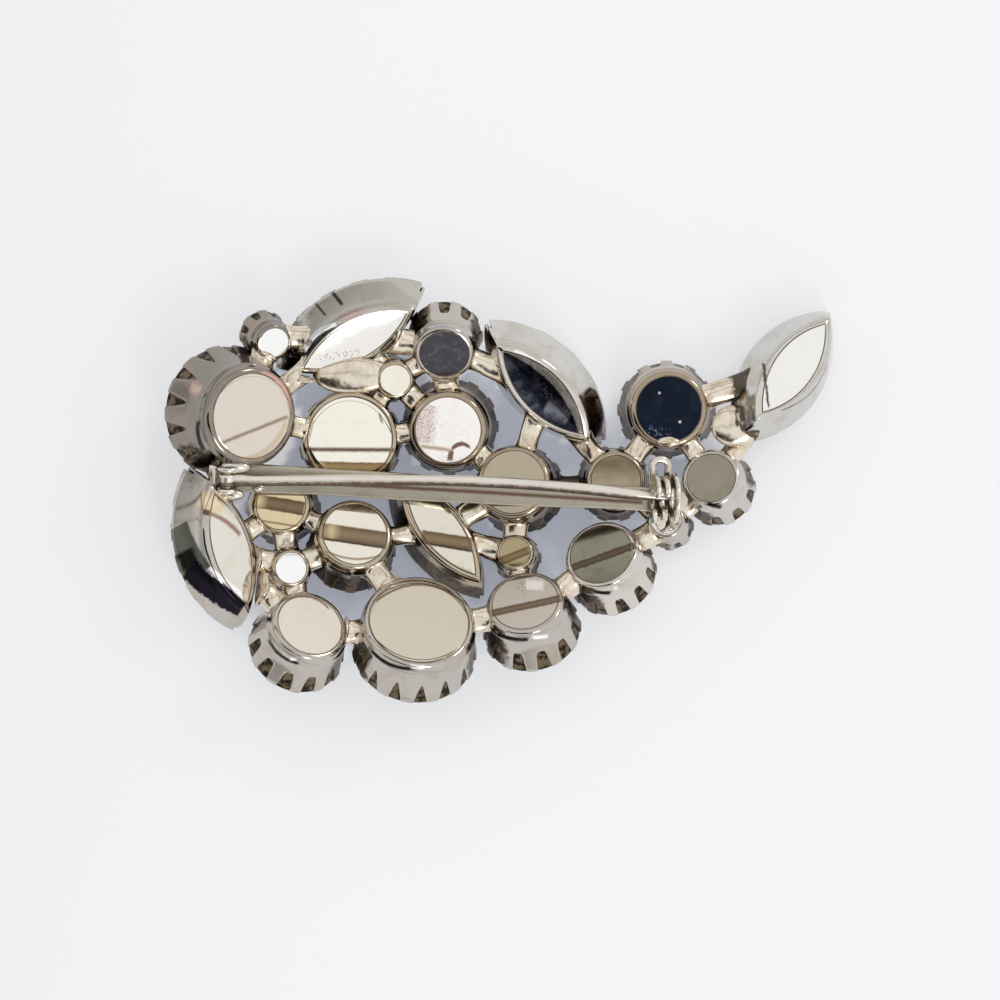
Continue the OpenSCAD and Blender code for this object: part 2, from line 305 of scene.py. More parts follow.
class Wire:
    """A shader socket that takes part in Python sums."""

    def __init__(self, graph: "Graph", socket: Any) -> None:
        """Holds the socket and the graph that new nodes go to."""
        self.graph, self.socket = graph, socket

    def _math(self, operation: str, a: Any, b: Any = None) -> "Wire":
        """A Math node on one or two values."""
        return self.graph.node("ShaderNodeMath", {"operation": operation}, [a] if b is None else [a, b])

    def __add__(self, other: Any) -> "Wire":
        """self + other."""
        return self._math("ADD", self, other)

    def __radd__(self, other: Any) -> "Wire":
        """other + self."""
        return self._math("ADD", other, self)

    def __sub__(self, other: Any) -> "Wire":
        """self - other."""
        return self._math("SUBTRACT", self, other)

    def __rsub__(self, other: Any) -> "Wire":
        """other - self."""
        return self._math("SUBTRACT", other, self)

    def __mul__(self, other: Any) -> "Wire":
        """self * other."""
        return self._math("MULTIPLY", self, other)

    def __rmul__(self, other: Any) -> "Wire":
        """other * self."""
        return self._math("MULTIPLY", other, self)

    def __abs__(self) -> "Wire":
        """Size of self without its sign."""
        return self._math("ABSOLUTE", self)

    def over(self, low: float, high: float) -> "Wire":
        """0 below low and 1 above high, with a smooth rise between."""
        settings = {"clamp": True, "interpolation_type": "SMOOTHSTEP"}
        inputs = {"Value": self, "From Min": low, "From Max": high}
        return self.graph.node("ShaderNodeMapRange", settings, inputs)


class Graph:
    """The nodes of a material or of the world."""

    def __init__(self, owner: Any) -> None:
        """Starts on a new material, with its Principled surface at hand, or on a world."""
        owner.use_nodes = True
        self.owner, self.tree = owner, owner.node_tree
        self.surface = self.tree.nodes.get("Principled BSDF")
        self.spot: Optional[Wire] = None

    def node(self, kind: str, settings: dict[str, Any], inputs: Any = (), output: int = 0) -> Wire:
        """Adds a node.

        Args:
            kind: Blender's name of the node type.
            settings: Its properties, set first.
            inputs: Values or wires by socket name or number, or in order.
            output: Number of the output that is returned.

        Returns:
            The wire from that output.
        """
        node = self.tree.nodes.new(kind)
        for key, value in settings.items():
            setattr(node, key, value)
        for key, value in inputs.items() if isinstance(inputs, dict) else enumerate(inputs):
            self.put(node.inputs[key], value)
        return Wire(self, node.outputs[output])

    def put(self, socket: Any, value: Any) -> None:
        """Links a wire to a socket, or sets its value."""
        if isinstance(value, Wire):
            self.tree.links.new(value.socket, socket)
        else:
            socket.default_value = value

    def place(self) -> Wire:
        """Object coordinates, which are metres from the origin."""
        if self.spot is None:
            self.spot = self.node("ShaderNodeTexCoord", {}, (), 3)
        return self.spot

    def along(self, direction: Array, start: Array) -> Wire:
        """Millimetres from a start along a direction: a dot product on Object coordinates."""
        inputs = [self.place(), tuple(direction / MM)]
        dot = self.node("ShaderNodeVectorMath", {"operation": "DOT_PRODUCT"}, inputs, 1)
        return dot - float((start - ORIGIN) @ direction)

    def noise(self, size_mm: float, detail: float = 3.0, rough: float = 0.55, twist: float = 0.0) -> Wire:
        """Noise from 0 to 1 with features of about the given size."""
        inputs = {"Vector": self.place(), "Scale": 1 / MM / size_mm, "Detail": detail}
        return self.node("ShaderNodeTexNoise", {}, inputs | {"Roughness": rough, "Distortion": twist})

    def specks(self, size_mm: float, share: float) -> Wire:
        """Small dots, 1 on a dot: cells of the given size with a dot of that share in each."""
        cell = self.node("ShaderNodeTexVoronoi", {}, {"Vector": self.place(), "Scale": 1 / MM / size_mm})
        return 1.0 - cell.over(share * 0.5, share)

    def shade_and_dirt(self) -> Wire:
        """The mesh's own grime attribute of painted shade and dirt, from 0 to 1."""
        return self.node("ShaderNodeAttribute", {"attribute_name": "shade_and_dirt"}, (), 2)

    def blend(self, share: Any, a: Any, b: Any) -> Wire:
        """Colour a where share is 0 and b where it is 1."""
        node = self.tree.nodes.new("ShaderNodeMix")
        node.data_type = "RGBA"
        for key, value in ((0, share), (6, a), (7, b)):
            self.put(node.inputs[key], (*value, 1.0) if isinstance(value, tuple) else value)
        return Wire(self, node.outputs[2])

    def metal(self, colour: Wire, rough: Wire, relief: Wire, height_mm: float) -> bpy.types.Material:
        """Wires up a metal surface of this colour, roughness and relief."""
        return self.finish({"Metallic": 1.0}, {"Base Color": colour, "Roughness": rough}, relief, height_mm)

    def finish(
        self,
        fixed: dict[str, Any],
        varying: dict[str, Wire],
        relief: Optional[Wire] = None,
        height_mm: float = 0.0,
    ) -> bpy.types.Material:
        """Wires up the surface.

        Args:
            fixed: Sockets that are the same all over.
            varying: Sockets that change over the surface.
            relief: Height from 0 to 1 for the bump, if any.
            height_mm: What 1 means in millimetres.

        Returns:
            The material.
        """
        for key, value in fixed.items():
            self.surface.inputs[key].default_value = value
        for key, wire in varying.items():
            self.put(self.surface.inputs[key], wire)
        if relief is not None:
            inputs = {"Height": relief, "Distance": height_mm * MM, "Strength": 1.0}
            self.put(self.surface.inputs["Normal"], self.node("ShaderNodeBump", {}, inputs))
        return self.owner


@dataclass(frozen=True)
class Mark:
    """A stroke of colour between two points, in millimetres from a middle, as seen from the camera: tarnish, and on
    most cups painted reflections, painted shadow and painted highlights.

    Its share is 1 where |across - bow * (1 - (2 along / length)^2)| < width / 2 and fades at both ends.
    A stroke as wide as broad, or wider, is paler along its middle.
    """

    first: tuple[float, float]
    last: tuple[float, float]
    width: float
    colour: Colour
    bow: float = 0.0
    soft: float = 0.09
    frayed: float = 0.08
    fade: float = 0.3
    strength: float = 1.0
    dotted: bool = False
    broad: float = 0.6

    def lay(self, g: Graph, middle: Array, under: Any) -> Wire:
        """Lays the stroke over a colour.

        Args:
            g: The material's nodes.
            middle: The point that the two ends are measured from.
            under: The colour so far.

        Returns:
            The colour with the stroke.
        """
        a, b = np.array(self.first), np.array(self.last)
        length = float(np.linalg.norm(b - a))
        t = (b - a) / length
        centre = middle + RIGHT * (a + b)[0] / 2 + UPWARD * (a + b)[1] / 2
        along = g.along(RIGHT * t[0] + UPWARD * t[1], centre)
        across = g.along(UPWARD * t[0] - RIGHT * t[1], centre)
        if self.bow:
            part = along * (2 / length)
            across = across - self.bow * (1.0 - part * part)
        across = across + (g.noise(0.5, 4.0, 0.7) - 0.5) * (2 * self.frayed)
        half = self.width / 2
        share = 1.0 - abs(across).over(half - self.soft, half + self.soft)
        ends = 1.0 - abs(along).over(length / 2 - self.fade, length / 2 + 0.05)
        share = share * ends * self.strength
        if self.dotted:
            share = share * g.specks(0.2, 0.42)
        if self.width < self.broad:
            return g.blend(share, under, self.colour)
        paler = tuple(c * (1.0 + 0.9 * (1.0 - c) ** 2) for c in self.colour)
        return g.blend(share, under, g.blend(abs(across).over(0.1 * half, 0.95 * half), paler, self.colour))


@dataclass(frozen=True)
class Plating:
    """Bright plated metal with warm and dulled places, and brown dirt and painted shade where the grime attribute
    is high.
    """

    name: str
    clean: Colour = (0.54, 0.505, 0.46)
    warm: Colour = (0.42, 0.34, 0.25)
    warm_share: float = 0.45
    gloss: float = 0.10
    dents: float = 0.008
    brown: Colour = (0.115, 0.075, 0.045)
    shade_and_soot: Colour = (0.020, 0.014, 0.010)
    marks: tuple[Mark, ...] = ()
    middle: tuple[float, float, float] = (0.0, 0.0, 0.0)

    def material(self) -> bpy.types.Material:
        """Builds the material: warm patches, smeared gloss, dents, brown dirt and painted shade with painted
        glints, and marks.
        """
        g = Graph(bpy.data.materials.new(self.name))
        patches = g.noise(3.2, 4.0, 0.6, 0.6).over(0.46, 0.72) * self.warm_share
        colour = g.blend(patches, self.clean, self.warm)
        smear = g.noise(1.1, 5.0, 0.65, 1.2)
        dust = g.specks(0.28, 0.11) * g.noise(2.4, 2.0).over(0.5, 0.62)
        colour = g.blend(dust * 0.5, colour, self.brown)
        cloud = g.noise(0.7, 4.0, 0.7)
        # Brown dirt and near-black painted shade where the grime attribute is high
        dirt_and_shade = (g.shade_and_dirt() + (cloud - 0.5) * 0.9).over(0.3, 0.7)
        colour = g.blend(dirt_and_shade * 0.92, colour, g.blend(cloud.over(0.44, 0.58), self.brown, self.shade_and_soot))
        # Painted glints: specks of clean metal in the darkened places
        painted_glints = g.specks(0.45, 0.12) * dirt_and_shade * 0.7
        colour = g.blend(painted_glints, colour, self.clean)
        # Marks: tarnish, painted reflections, painted shadow and painted highlights
        for mark in self.marks:
            colour = mark.lay(g, np.array(self.middle), colour)
        rough = self.gloss + smear.over(0.45, 0.8) * 0.10 + dust * 0.25 + dirt_and_shade * 0.2
        relief = g.noise(2.2, 2.0, 0.45) * 0.8 + g.noise(0.35, 3.0) * 0.06
        return g.metal(colour, rough, relief, self.dents)


@dataclass(frozen=True)
class BackLook:
    """How one cup looks: its back's tone, which partly stands for what the back reflects, clouds and specks, the
    tone of its wall, and marks on both, which are tarnish, painted reflections and painted highlights.
    """

    tone: Colour
    cloud: Colour = (0.66, 0.55, 0.42)
    cloudy: float = 0.25
    cloud_size: float = 2.6
    speck: Colour = (0.25, 0.18, 0.13)
    specks: float = 0.0
    speck_share: float = 0.14
    gloss: float = 0.06
    dents: float = 0.004
    marks: tuple[Mark, ...] = ()
    wall: Colour = (0.54, 0.505, 0.46)
    wall_marks: tuple[Mark, ...] = ()

    def material(self, name: str, middle: Array) -> bpy.types.Material:
        """Builds the back's material.

        Args:
            name: Name of the material.
            middle: Middle of the back, from which the marks are measured.

        Returns:
            The material.
        """
        g = Graph(bpy.data.materials.new(name))
        clouds = g.noise(self.cloud_size, 5.0, 0.68, 0.8)
        colour = g.blend(clouds.over(0.44, 0.78) * self.cloudy, self.tone, self.cloud)
        dots = g.specks(0.3, self.speck_share) * g.noise(1.7, 3.0).over(0.47, 0.6)
        if self.specks:
            colour = g.blend(dots * self.specks, colour, self.speck)
        for mark in self.marks:
            colour = mark.lay(g, middle, colour)
        rough = self.gloss + clouds.over(0.45, 0.8) * 0.08 + dots * (0.2 * self.specks)
        relief = g.noise(2.4, 2.0, 0.45) + clouds * 0.1
        return g.metal(colour, rough, relief, self.dents)


@dataclass(frozen=True)
class CupInside:
    """The inner wall of a cup: brown, hardly plated brass, kept dark as painted shade inside the cup."""

    name: str = "cup_inside"
    bright: Colour = (0.20, 0.145, 0.095)
    dark: Colour = (0.035, 0.025, 0.018)
    patch_size: float = 1.5
    black: Colour = (0.022, 0.019, 0.018)

    def material(self) -> bpy.types.Material:
        """Builds the material: patches of brown metal and sooty black, and painted black shade where the grime
        attribute is high.
        """
        g = Graph(bpy.data.materials.new(self.name))
        patches = g.noise(self.patch_size, 3.0, 0.6)
        colour = g.blend(patches.over(0.42, 0.58), self.bright, self.dark)
        # Painted black shade where the grime attribute is high
        colour = g.blend(g.shade_and_dirt() * 0.9, colour, self.black)
        return g.metal(colour, 0.3 + patches * 0.2, relief=g.noise(0.6), height_mm=0.01)


@dataclass(frozen=True)
class Solder:
    """Lumpy soft solder, pale and golden, with dark flux and painted shade low down and in corners."""

    name: str = "solder_plated"
    pale: Colour = (0.82, 0.74, 0.62)
    gold: Colour = (0.52, 0.40, 0.27)
    dark: Colour = (0.045, 0.030, 0.019)

    def material(self) -> bpy.types.Material:
        """Builds the material: pale metal, golden patches, and dark flux and painted shade where the grime
        attribute is high.
        """
        g = Graph(bpy.data.materials.new(self.name))
        colour = g.blend(g.noise(1.6, 3.0, 0.6, 0.3).over(0.42, 0.68) * 0.6, self.pale, self.gold)
        cloud = g.noise(0.6, 5.0, 0.7)
        flux_and_shade = (g.shade_and_dirt() + (cloud - 0.5) * 1.5).over(0.3, 0.6)
        colour = g.blend(flux_and_shade * 0.9, colour, self.dark)
        rough = 0.17 + g.noise(0.6, 3.0).over(0.4, 0.8) * 0.12 + flux_and_shade * 0.25
        relief = g.noise(1.3, 2.0, 0.5) + g.noise(0.4, 3.0) * 0.08
        return g.metal(colour, rough, relief, height_mm=0.05)


@dataclass(frozen=True)
class SmokyCrystal:
    """Cut smoky glass with faint clouding; the sides that face up, inside the cups, carry brown foil."""

    name: str = "smoky_crystal"
    deep: Colour = (0.10, 0.085, 0.10)
    pale: Colour = (0.34, 0.30, 0.33)
    foil: Colour = (0.15, 0.105, 0.07)
    foil_dark: Colour = (0.045, 0.030, 0.020)

    def material(self) -> bpy.types.Material:
        """Builds the material: two greys that shift over each stone, under a clear polished coat."""
        g = Graph(bpy.data.materials.new(self.name))
        shift = g.noise(2.6, 2.0, 0.5, 0.4)
        colour = g.blend(shift.over(0.35, 0.7), self.deep, self.pale)
        facing = g.node("ShaderNodeTexCoord", {}, (), 1)
        upward = g.node("ShaderNodeVectorMath", {"operation": "DOT_PRODUCT"}, [facing, (0.0, 0.0, 1.0)], 1)
        foil = g.blend(g.noise(1.0, 4.0, 0.7).over(0.42, 0.6), self.foil, self.foil_dark)
        colour = g.blend(upward.over(0.05, 0.35), colour, foil)
        rough = 0.04 + g.noise(0.8, 3.0).over(0.6, 0.9) * 0.08
        fixed = {"Metallic": 0.0, "IOR": 1.56, "Coat Weight": 1.0, "Coat Roughness": 0.02, "Coat IOR": 1.56}
        varying = {"Base Color": colour, "Roughness": rough}
        return g.finish(fixed, varying, relief=g.noise(3.0, 1.0), height_mm=0.004)


# Settings


class Face(Enum):
    """Which finish a face of a cup takes."""

    WALL = 0
    BACK = 1
    GROOVE = 2


@dataclass(frozen=True)
class RoundSize:
    """Sizes of a round cup in millimetres, as in the CAD source.

    Radii of the flat back, of the wall under its rounding and of the prong ring, and half the width of
    the slots at their closed and open ends.
    """

    flat: float
    bevel: float
    ring: float
    depth: float
    prongs: int
    slot_closed: float
    slot_open: float


@dataclass(frozen=True)
class OvalSize:
    """Sizes of a pointed oval cup in millimetres: radii of circles that are shifted sideways by offset."""

    offset: float
    flat: float
    bevel: float
    rim: float
    depth: float


GROOVE_DEEP = 0.05
SHEET = 0.25
SOFT_EDGE = 0.06
# Sizes by the stones that they suit
XL = RoundSize(4.1, 4.6, 6.3, 6.2, 14, 0.12, 1.05)
LARGE = RoundSize(4.8, 5.2, 5.9, 5.3, 15, 0.12, 0.95)
MEDIUM = RoundSize(4.1, 4.5, 4.95, 5.0, 13, 0.40, 0.75)
TEN = RoundSize(3.2, 3.65, 4.7, 5.0, 12, 0.42, 0.88)
NINE = RoundSize(3.1, 3.5, 4.3, 4.8, 12, 0.38, 0.80)
SEVEN = RoundSize(2.4, 2.8, 3.65, 4.4, 10, 0.40, 0.82)
SMALL = RoundSize(1.5, 1.8, 2.3, 3.7, 8, 0.28, 0.58)
OVAL = OvalSize(6.82, 8.82, 9.42, 10.72, 4.2)
SLIM = OvalSize(7.33, 9.20, 9.73, 10.43, 4.2)


@dataclass
class Cup:
    """Where a cup stands: the middle of its back, how far it leans and which way, and its long axis.

    Angles are in degrees, and dome is how far the back bulges in millimetres.
    """

    name: str
    size: Any
    at: tuple[float, float, float]
    lean: float
    toward: float
    long_axis: float = 0.0
    dome: float = 0.05
    frame: Array = field(init=False)

    def __post_init__(self) -> None:
        """Works out the cup's own axes: columns x, y and z, with z out of the back."""
        spin = math.radians(self.long_axis - self.toward)
        own = math.degrees(math.atan2(math.sin(spin), math.cos(math.radians(self.lean)) * math.cos(spin)))
        self.frame = turned("z", self.toward) @ turned("y", -self.lean) @ turned("z", own)

    @property
    def is_round(self) -> bool:
        """Whether it is a round cup and not a pointed oval one."""
        return isinstance(self.size, RoundSize)

    def wall_radius(self, w: Any) -> Any:
        """Radius of the wall's circle, w under the back."""
        s = self.size
        end = s.ring if self.is_round else s.rim
        return s.bevel + (end - s.bevel) * w / s.depth

    def gap_and_depth(self, points: Array) -> tuple[Array, Array]:
        """How far points stand off this cup's wall and how far they lie under its back, in millimetres."""
        own = (points - np.array(self.at)) @ self.frame
        w = -own[:, 2]
        o = 0.0 if self.is_round else self.size.offset
        from_axis = np.hypot(own[:, 0], np.abs(own[:, 1]) + o)
        return from_axis - self.wall_radius(np.clip(w, 0, self.size.depth)), w

    def reach(self, u: Array, w: float) -> float:
        """Distance from the cup's axis to its wall along direction u, w under the back."""
        a, b = float(u @ self.frame[:, 0]), float(u @ self.frame[:, 1])
        n, r = math.hypot(a, b), self.wall_radius(w)
        if self.is_round:
            return r / n
        o = self.size.offset
        return (math.sqrt(r * r - o * o * (1 - b * b / n / n)) - o * abs(b) / n) / n

    def inside(self, w: float) -> Array:
        """Point on the axis, w under the back."""
        return np.array(self.at) - self.frame[:, 2] * w

    def build(
        self, look: BackLook, finishes: dict[str, bpy.types.Material], number: int, shade_and_dirt: Any
    ) -> bpy.types.Object:
        """Builds and dresses the cup.

        Args:
            look: How its back and wall have aged, with painted reflections, shade and highlights.
            finishes: Shared materials by name.
            number: Number of the cup, for its name.
            shade_and_dirt: Function from points to painted shade and dirt.

        Returns:
            The cup's object.
        """
        kind, skin = ("round", self.round_sheet()) if self.is_round else ("navette", self.oval_sheet())
        name = f"{kind}_cup_{number}"
        marks = look.marks + look.wall_marks
        materials = [
            Plating(f"{name}_wall", look.wall, marks=marks, middle=self.at).material(),
            look.material(f"{name}_back", np.array(self.at)),
            finishes["groove"],
            finishes["inside"],
        ]
        placed = skin.moved(self.frame, np.array(self.at))
        return placed.piece(name, materials, wall=SHEET, edge=SOFT_EDGE, shade_and_dirt=shade_and_dirt)

    def round_sheet(self) -> Skin:
        """Outside of a slotted round cup.

        Row k of the grid is a ring at (r, z) of the profile. Round it, each prong takes the angle
        pitch / 2 - (half the slot's width) / r on both sides of its middle, and the faces between
        prongs are left out below the slot's closed end.

        Returns:
            The sheet, which gets its thickness later.
        """
        s = self.size
        d, f, b, p = s.depth, s.flat, s.bevel, s.ring
        groove_at = 0.972
        g = np.array([0.18, 0.36, 0.54, 0.72, 0.86, 0.955, groove_at, 0.99])
        flat = np.stack([g * f, self.dome * (1 - g * g) - GROOVE_DEEP * (g == groove_at)], 1)
        turn = self.rounding(f, b, 0.42)
        z_slot = -d * 0.5
        upper = np.array([-0.62, -0.82, -0.98, -1.12, -1.26, -1.42, z_slot + 0.05])
        below = z_slot - 0.12
        wall_z = np.concatenate([upper, [z_slot, below], np.linspace(below, 0.8 - d, 5)[1:]])
        along = (wall_z + 0.4) / (0.8 - d + 0.4)
        bead = 0.12 * np.exp(-(((wall_z + 1.05) / 0.2) ** 2))
        wall = np.stack([b + (p - 0.1 - b) * along + bead, wall_z], 1)
        bent_in = np.array([[0.02, 0.55], [0.04, 0.32], [0.16, 0.13], [0.38, 0.03], [0.72, 0.0]])
        tip = [p, -d] + bent_in * [-1, 1]
        prof = np.concatenate([flat, turn, wall, tip])
        r, z = prof[:, 0], prof[:, 1]
        first_slot = len(flat) + len(turn) + len(upper)
        mp, ms = (6, 3) if s.prongs > 8 else (5, 2)
        slope = (s.slot_open - s.slot_closed) / (d * 0.5 + 1)
        half = s.slot_closed + np.clip(z_slot - z, 0, None) * slope
        blunt = ramp(z_slot - z, 0, 0.25) ** 0.5
        half = np.where(z < z_slot - 1e-6, half * (0.55 + 0.45 * blunt), half * 0.55)
        pitch = 2 * math.pi / s.prongs
        ha = pitch / 2 - half / np.maximum(r, b)
        ha = np.where(r < f, pitch / 2 * 0.75, ha)
        u = np.linspace(-1, 1, mp + 1)
        v = np.linspace(0, 1, ms + 1)[1:-1]
        local = np.concatenate([ha[:, None] * u, ha[:, None] + (pitch - 2 * ha[:, None]) * v], 1)
        ang = (local[:, None, :] + np.arange(s.prongs)[None, :, None] * pitch).reshape(len(r), -1)
        x, y = r[:, None] * np.cos(ang), r[:, None] * np.sin(ang)
        rows = np.stack([x, y, np.broadcast_to(z[:, None], ang.shape)], -1)
        col = np.arange(ang.shape[1]) % (mp + ms)
        k = np.arange(len(r) - 1)[:, None]
        keep = ~((col[None, :] >= mp) & (k >= first_slot))
        return Skin.of_grid(rows, self.dome * Z, None, keep, self.face_finish(k, len(flat), col))

    @staticmethod
    def rounding(start: float, end: float, drop: float) -> Array:
        """Quarter of an oval from the flat's edge down to the wall: (a + (b - a) sin t, -drop (1 - cos t))."""
        t = np.linspace(0, 1, 7)[:, None] * math.pi / 2
        return np.concatenate([start + (end - start) * np.sin(t), -drop * (1 - np.cos(t))], 1)

    def lining(self) -> Skin:
        """The thin inner band of a round cup: a cone in the thickness of its wall that closes its slots, dark to
        paint the shade seen through them.
        """
        top, low = self.size.depth * 0.5 - 0.15, self.size.depth - 0.2
        rows = [(top, 0.14), (low, 0.17), (low, 0.27), (top, 0.24)]
        profile = np.array([[self.wall_radius(w) - inset, -w] for w, inset in rows])
        return spun(profile, 64, True).moved(self.frame, np.array(self.at))

    @staticmethod
    def face_finish(k: Array, flats: int, columns: Array) -> Array:
        """Finish number of each face: the back, the groove along its edge, then the wall."""
        edge = np.where(k < flats - 1, Face.GROOVE.value, Face.WALL.value)
        return np.where(k < flats - 3, Face.BACK.value, edge) * np.ones_like(columns)[None, :]

    def oval_sheet(self) -> Skin:
        """Outside of a pointed oval cup.

        Row k is the outline of two circles of radius R cut with each other, each shifted by the same
        offset, so that half the width is R - offset and half the length the root of R^2 - offset^2.

        Returns:
            The sheet, with notches at the rim and a slit at each tip.
        """
        s = self.size
        d, o, dome, drop, groove_at = s.depth, s.offset, 1.6 * self.dome, 0.45, 0.955
        g = np.array([0.02, 0.2, 0.4, 0.6, 0.8, 0.925, groove_at, 0.985])
        flat = np.stack([o + (s.flat - o) * g, dome * (1 - g * g) - GROOVE_DEEP * (g == groove_at)], 1)
        turn = self.rounding(s.flat, s.bevel, drop)
        w = np.linspace(0, 1, 9)[1:, None]
        wall = np.concatenate([s.bevel + (s.rim - s.bevel) * (w ** 0.85), -drop + (0.5 - d + drop) * w], 1)
        lip = [s.rim, -d] + np.array([[-0.02, 0.25], [-0.12, 0.08], [-0.32, 0.0], [-0.6, 0.0]])
        prof = np.concatenate([flat, turn, wall, lip])
        n = 44
        half = np.arccos(np.clip(o / prof[:, 0], -1, 1))
        e = np.linspace(-1, 1, n + 1)[:-1]
        e = np.sign(e) * np.abs(e) ** 0.9
        a = half[:, None] * e
        x = prof[:, :1] * np.sin(-a)
        y = prof[:, :1] * np.cos(a) - o
        x, y = np.concatenate([x, -x], 1), np.concatenate([y, -y], 1)
        rows = np.stack([x, y, np.broadcast_to(prof[:, 1:], x.shape)], -1)
        mid = (rows[:-1] + rows[1:]) / 2
        from_notch = np.abs(mid[..., 0, None] - np.array([-4.48, -1.6, 1.6, 4.48])).min(-1)
        keep = ~((from_notch < 0.8) & (mid[..., 2] < 0.55 - d))
        col = np.arange(2 * n)
        at_tip = np.isin(col, [0, n - 1, n, 2 * n - 1])
        keep &= ~(at_tip[None, :] & (mid[..., 2] < -0.62 * d))
        k = np.arange(len(prof) - 1)[:, None]
        return Skin.of_grid(rows, dome * Z, None, keep, self.face_finish(k, len(flat), col))


# Size, middle of the back, lean, which way it leans and the long axis, in the order of the CAD source
SETTINGS: tuple[tuple[Any, ...], ...] = (
    (XL, (-22.66, 5.64, 9.74), 30.6, 158.9),
    (LARGE, (-7.10, -13.38, 8.38), 31.1, -102.0),
    (MEDIUM, (-13.67, 4.01, 5.33), 4.0, 105.9),
    (TEN, (-4.45, 4.80, 5.84), 11.5, 84.5),
    (TEN, (16.31, 6.83, 5.47), 6.1, 100.3),
    (TEN, (2.76, -11.54, 7.55), 33.0, -73.8),
    (TEN, (-17.26, -13.71, 7.74), 32.4, -127.1),
    (NINE, (1.65, -0.07, 5.48), 10.1, -25.5),
    (NINE, (9.87, -6.97, 6.64), 27.2, -52.7),
    (NINE, (-13.15, -5.04, 6.12), 16.5, -114.8),
    (SEVEN, (-4.80, 11.91, 6.58), 33.0, 90.0),
    (SEVEN, (11.32, 0.16, 5.07), 2.7, 157.2),
    (SEVEN, (20.23, 0.30, 5.52), 15.6, -36.4),
    (SEVEN, (-20.15, -2.16, 4.74), 2.3, 90.0),
    (SMALL, (-20.77, 12.86, 7.15), 33.6, 134.1),
    (SMALL, (-9.44, 9.55, 5.70), 12.0, 119.7),
    (SMALL, (16.01, -3.60, 4.96), 10.7, -33.8),
    (SMALL, (1.84, -6.67, 4.53), 6.2, -44.7),
    (SMALL, (-19.11, -8.26, 6.38), 8.0, 157.8),
    (OVAL, (-13.19, 13.14, 6.51), 33.4, 109.2, 31),
    (OVAL, (4.46, 8.25, 6.25), 23.4, 80.2, -49.5),
    (OVAL, (28.06, 10.66, 5.93), 15.6, -157.4, 53),
    (OVAL, (-24.69, -6.54, 7.13), 33.4, 170.8, -65),
    (SLIM, (-5.11, -4.43, 4.71), 9.7, -143.3, -53),
)


def cluster() -> list[Cup]:
    """The cups, each named after the stone that it holds."""
    kinds = ["round" if isinstance(row[0], RoundSize) else "navette" for row in SETTINGS]
    names = [f"{kind}_stone_{kinds[:k + 1].count(kind)}" for k, kind in enumerate(kinds)]
    return [Cup(name, *row) for name, row in zip(names, SETTINGS)]


# Colours of the marks: the black on the shoulders is painted dark reflection, the white painted highlight
BROWN, REFLECTED_BLACK, HIGHLIGHT_WHITE = (0.16, 0.10, 0.075), (0.025, 0.02, 0.022), (0.97, 0.97, 0.98)
GOLD, UMBER, TAN = (0.56, 0.42, 0.22), (0.14, 0.10, 0.06), (0.33, 0.25, 0.17)
DULL_WALL, GOLD_WALL, BROWN_WALL = (0.29, 0.26, 0.23), (0.52, 0.44, 0.33), (0.42, 0.345, 0.26)
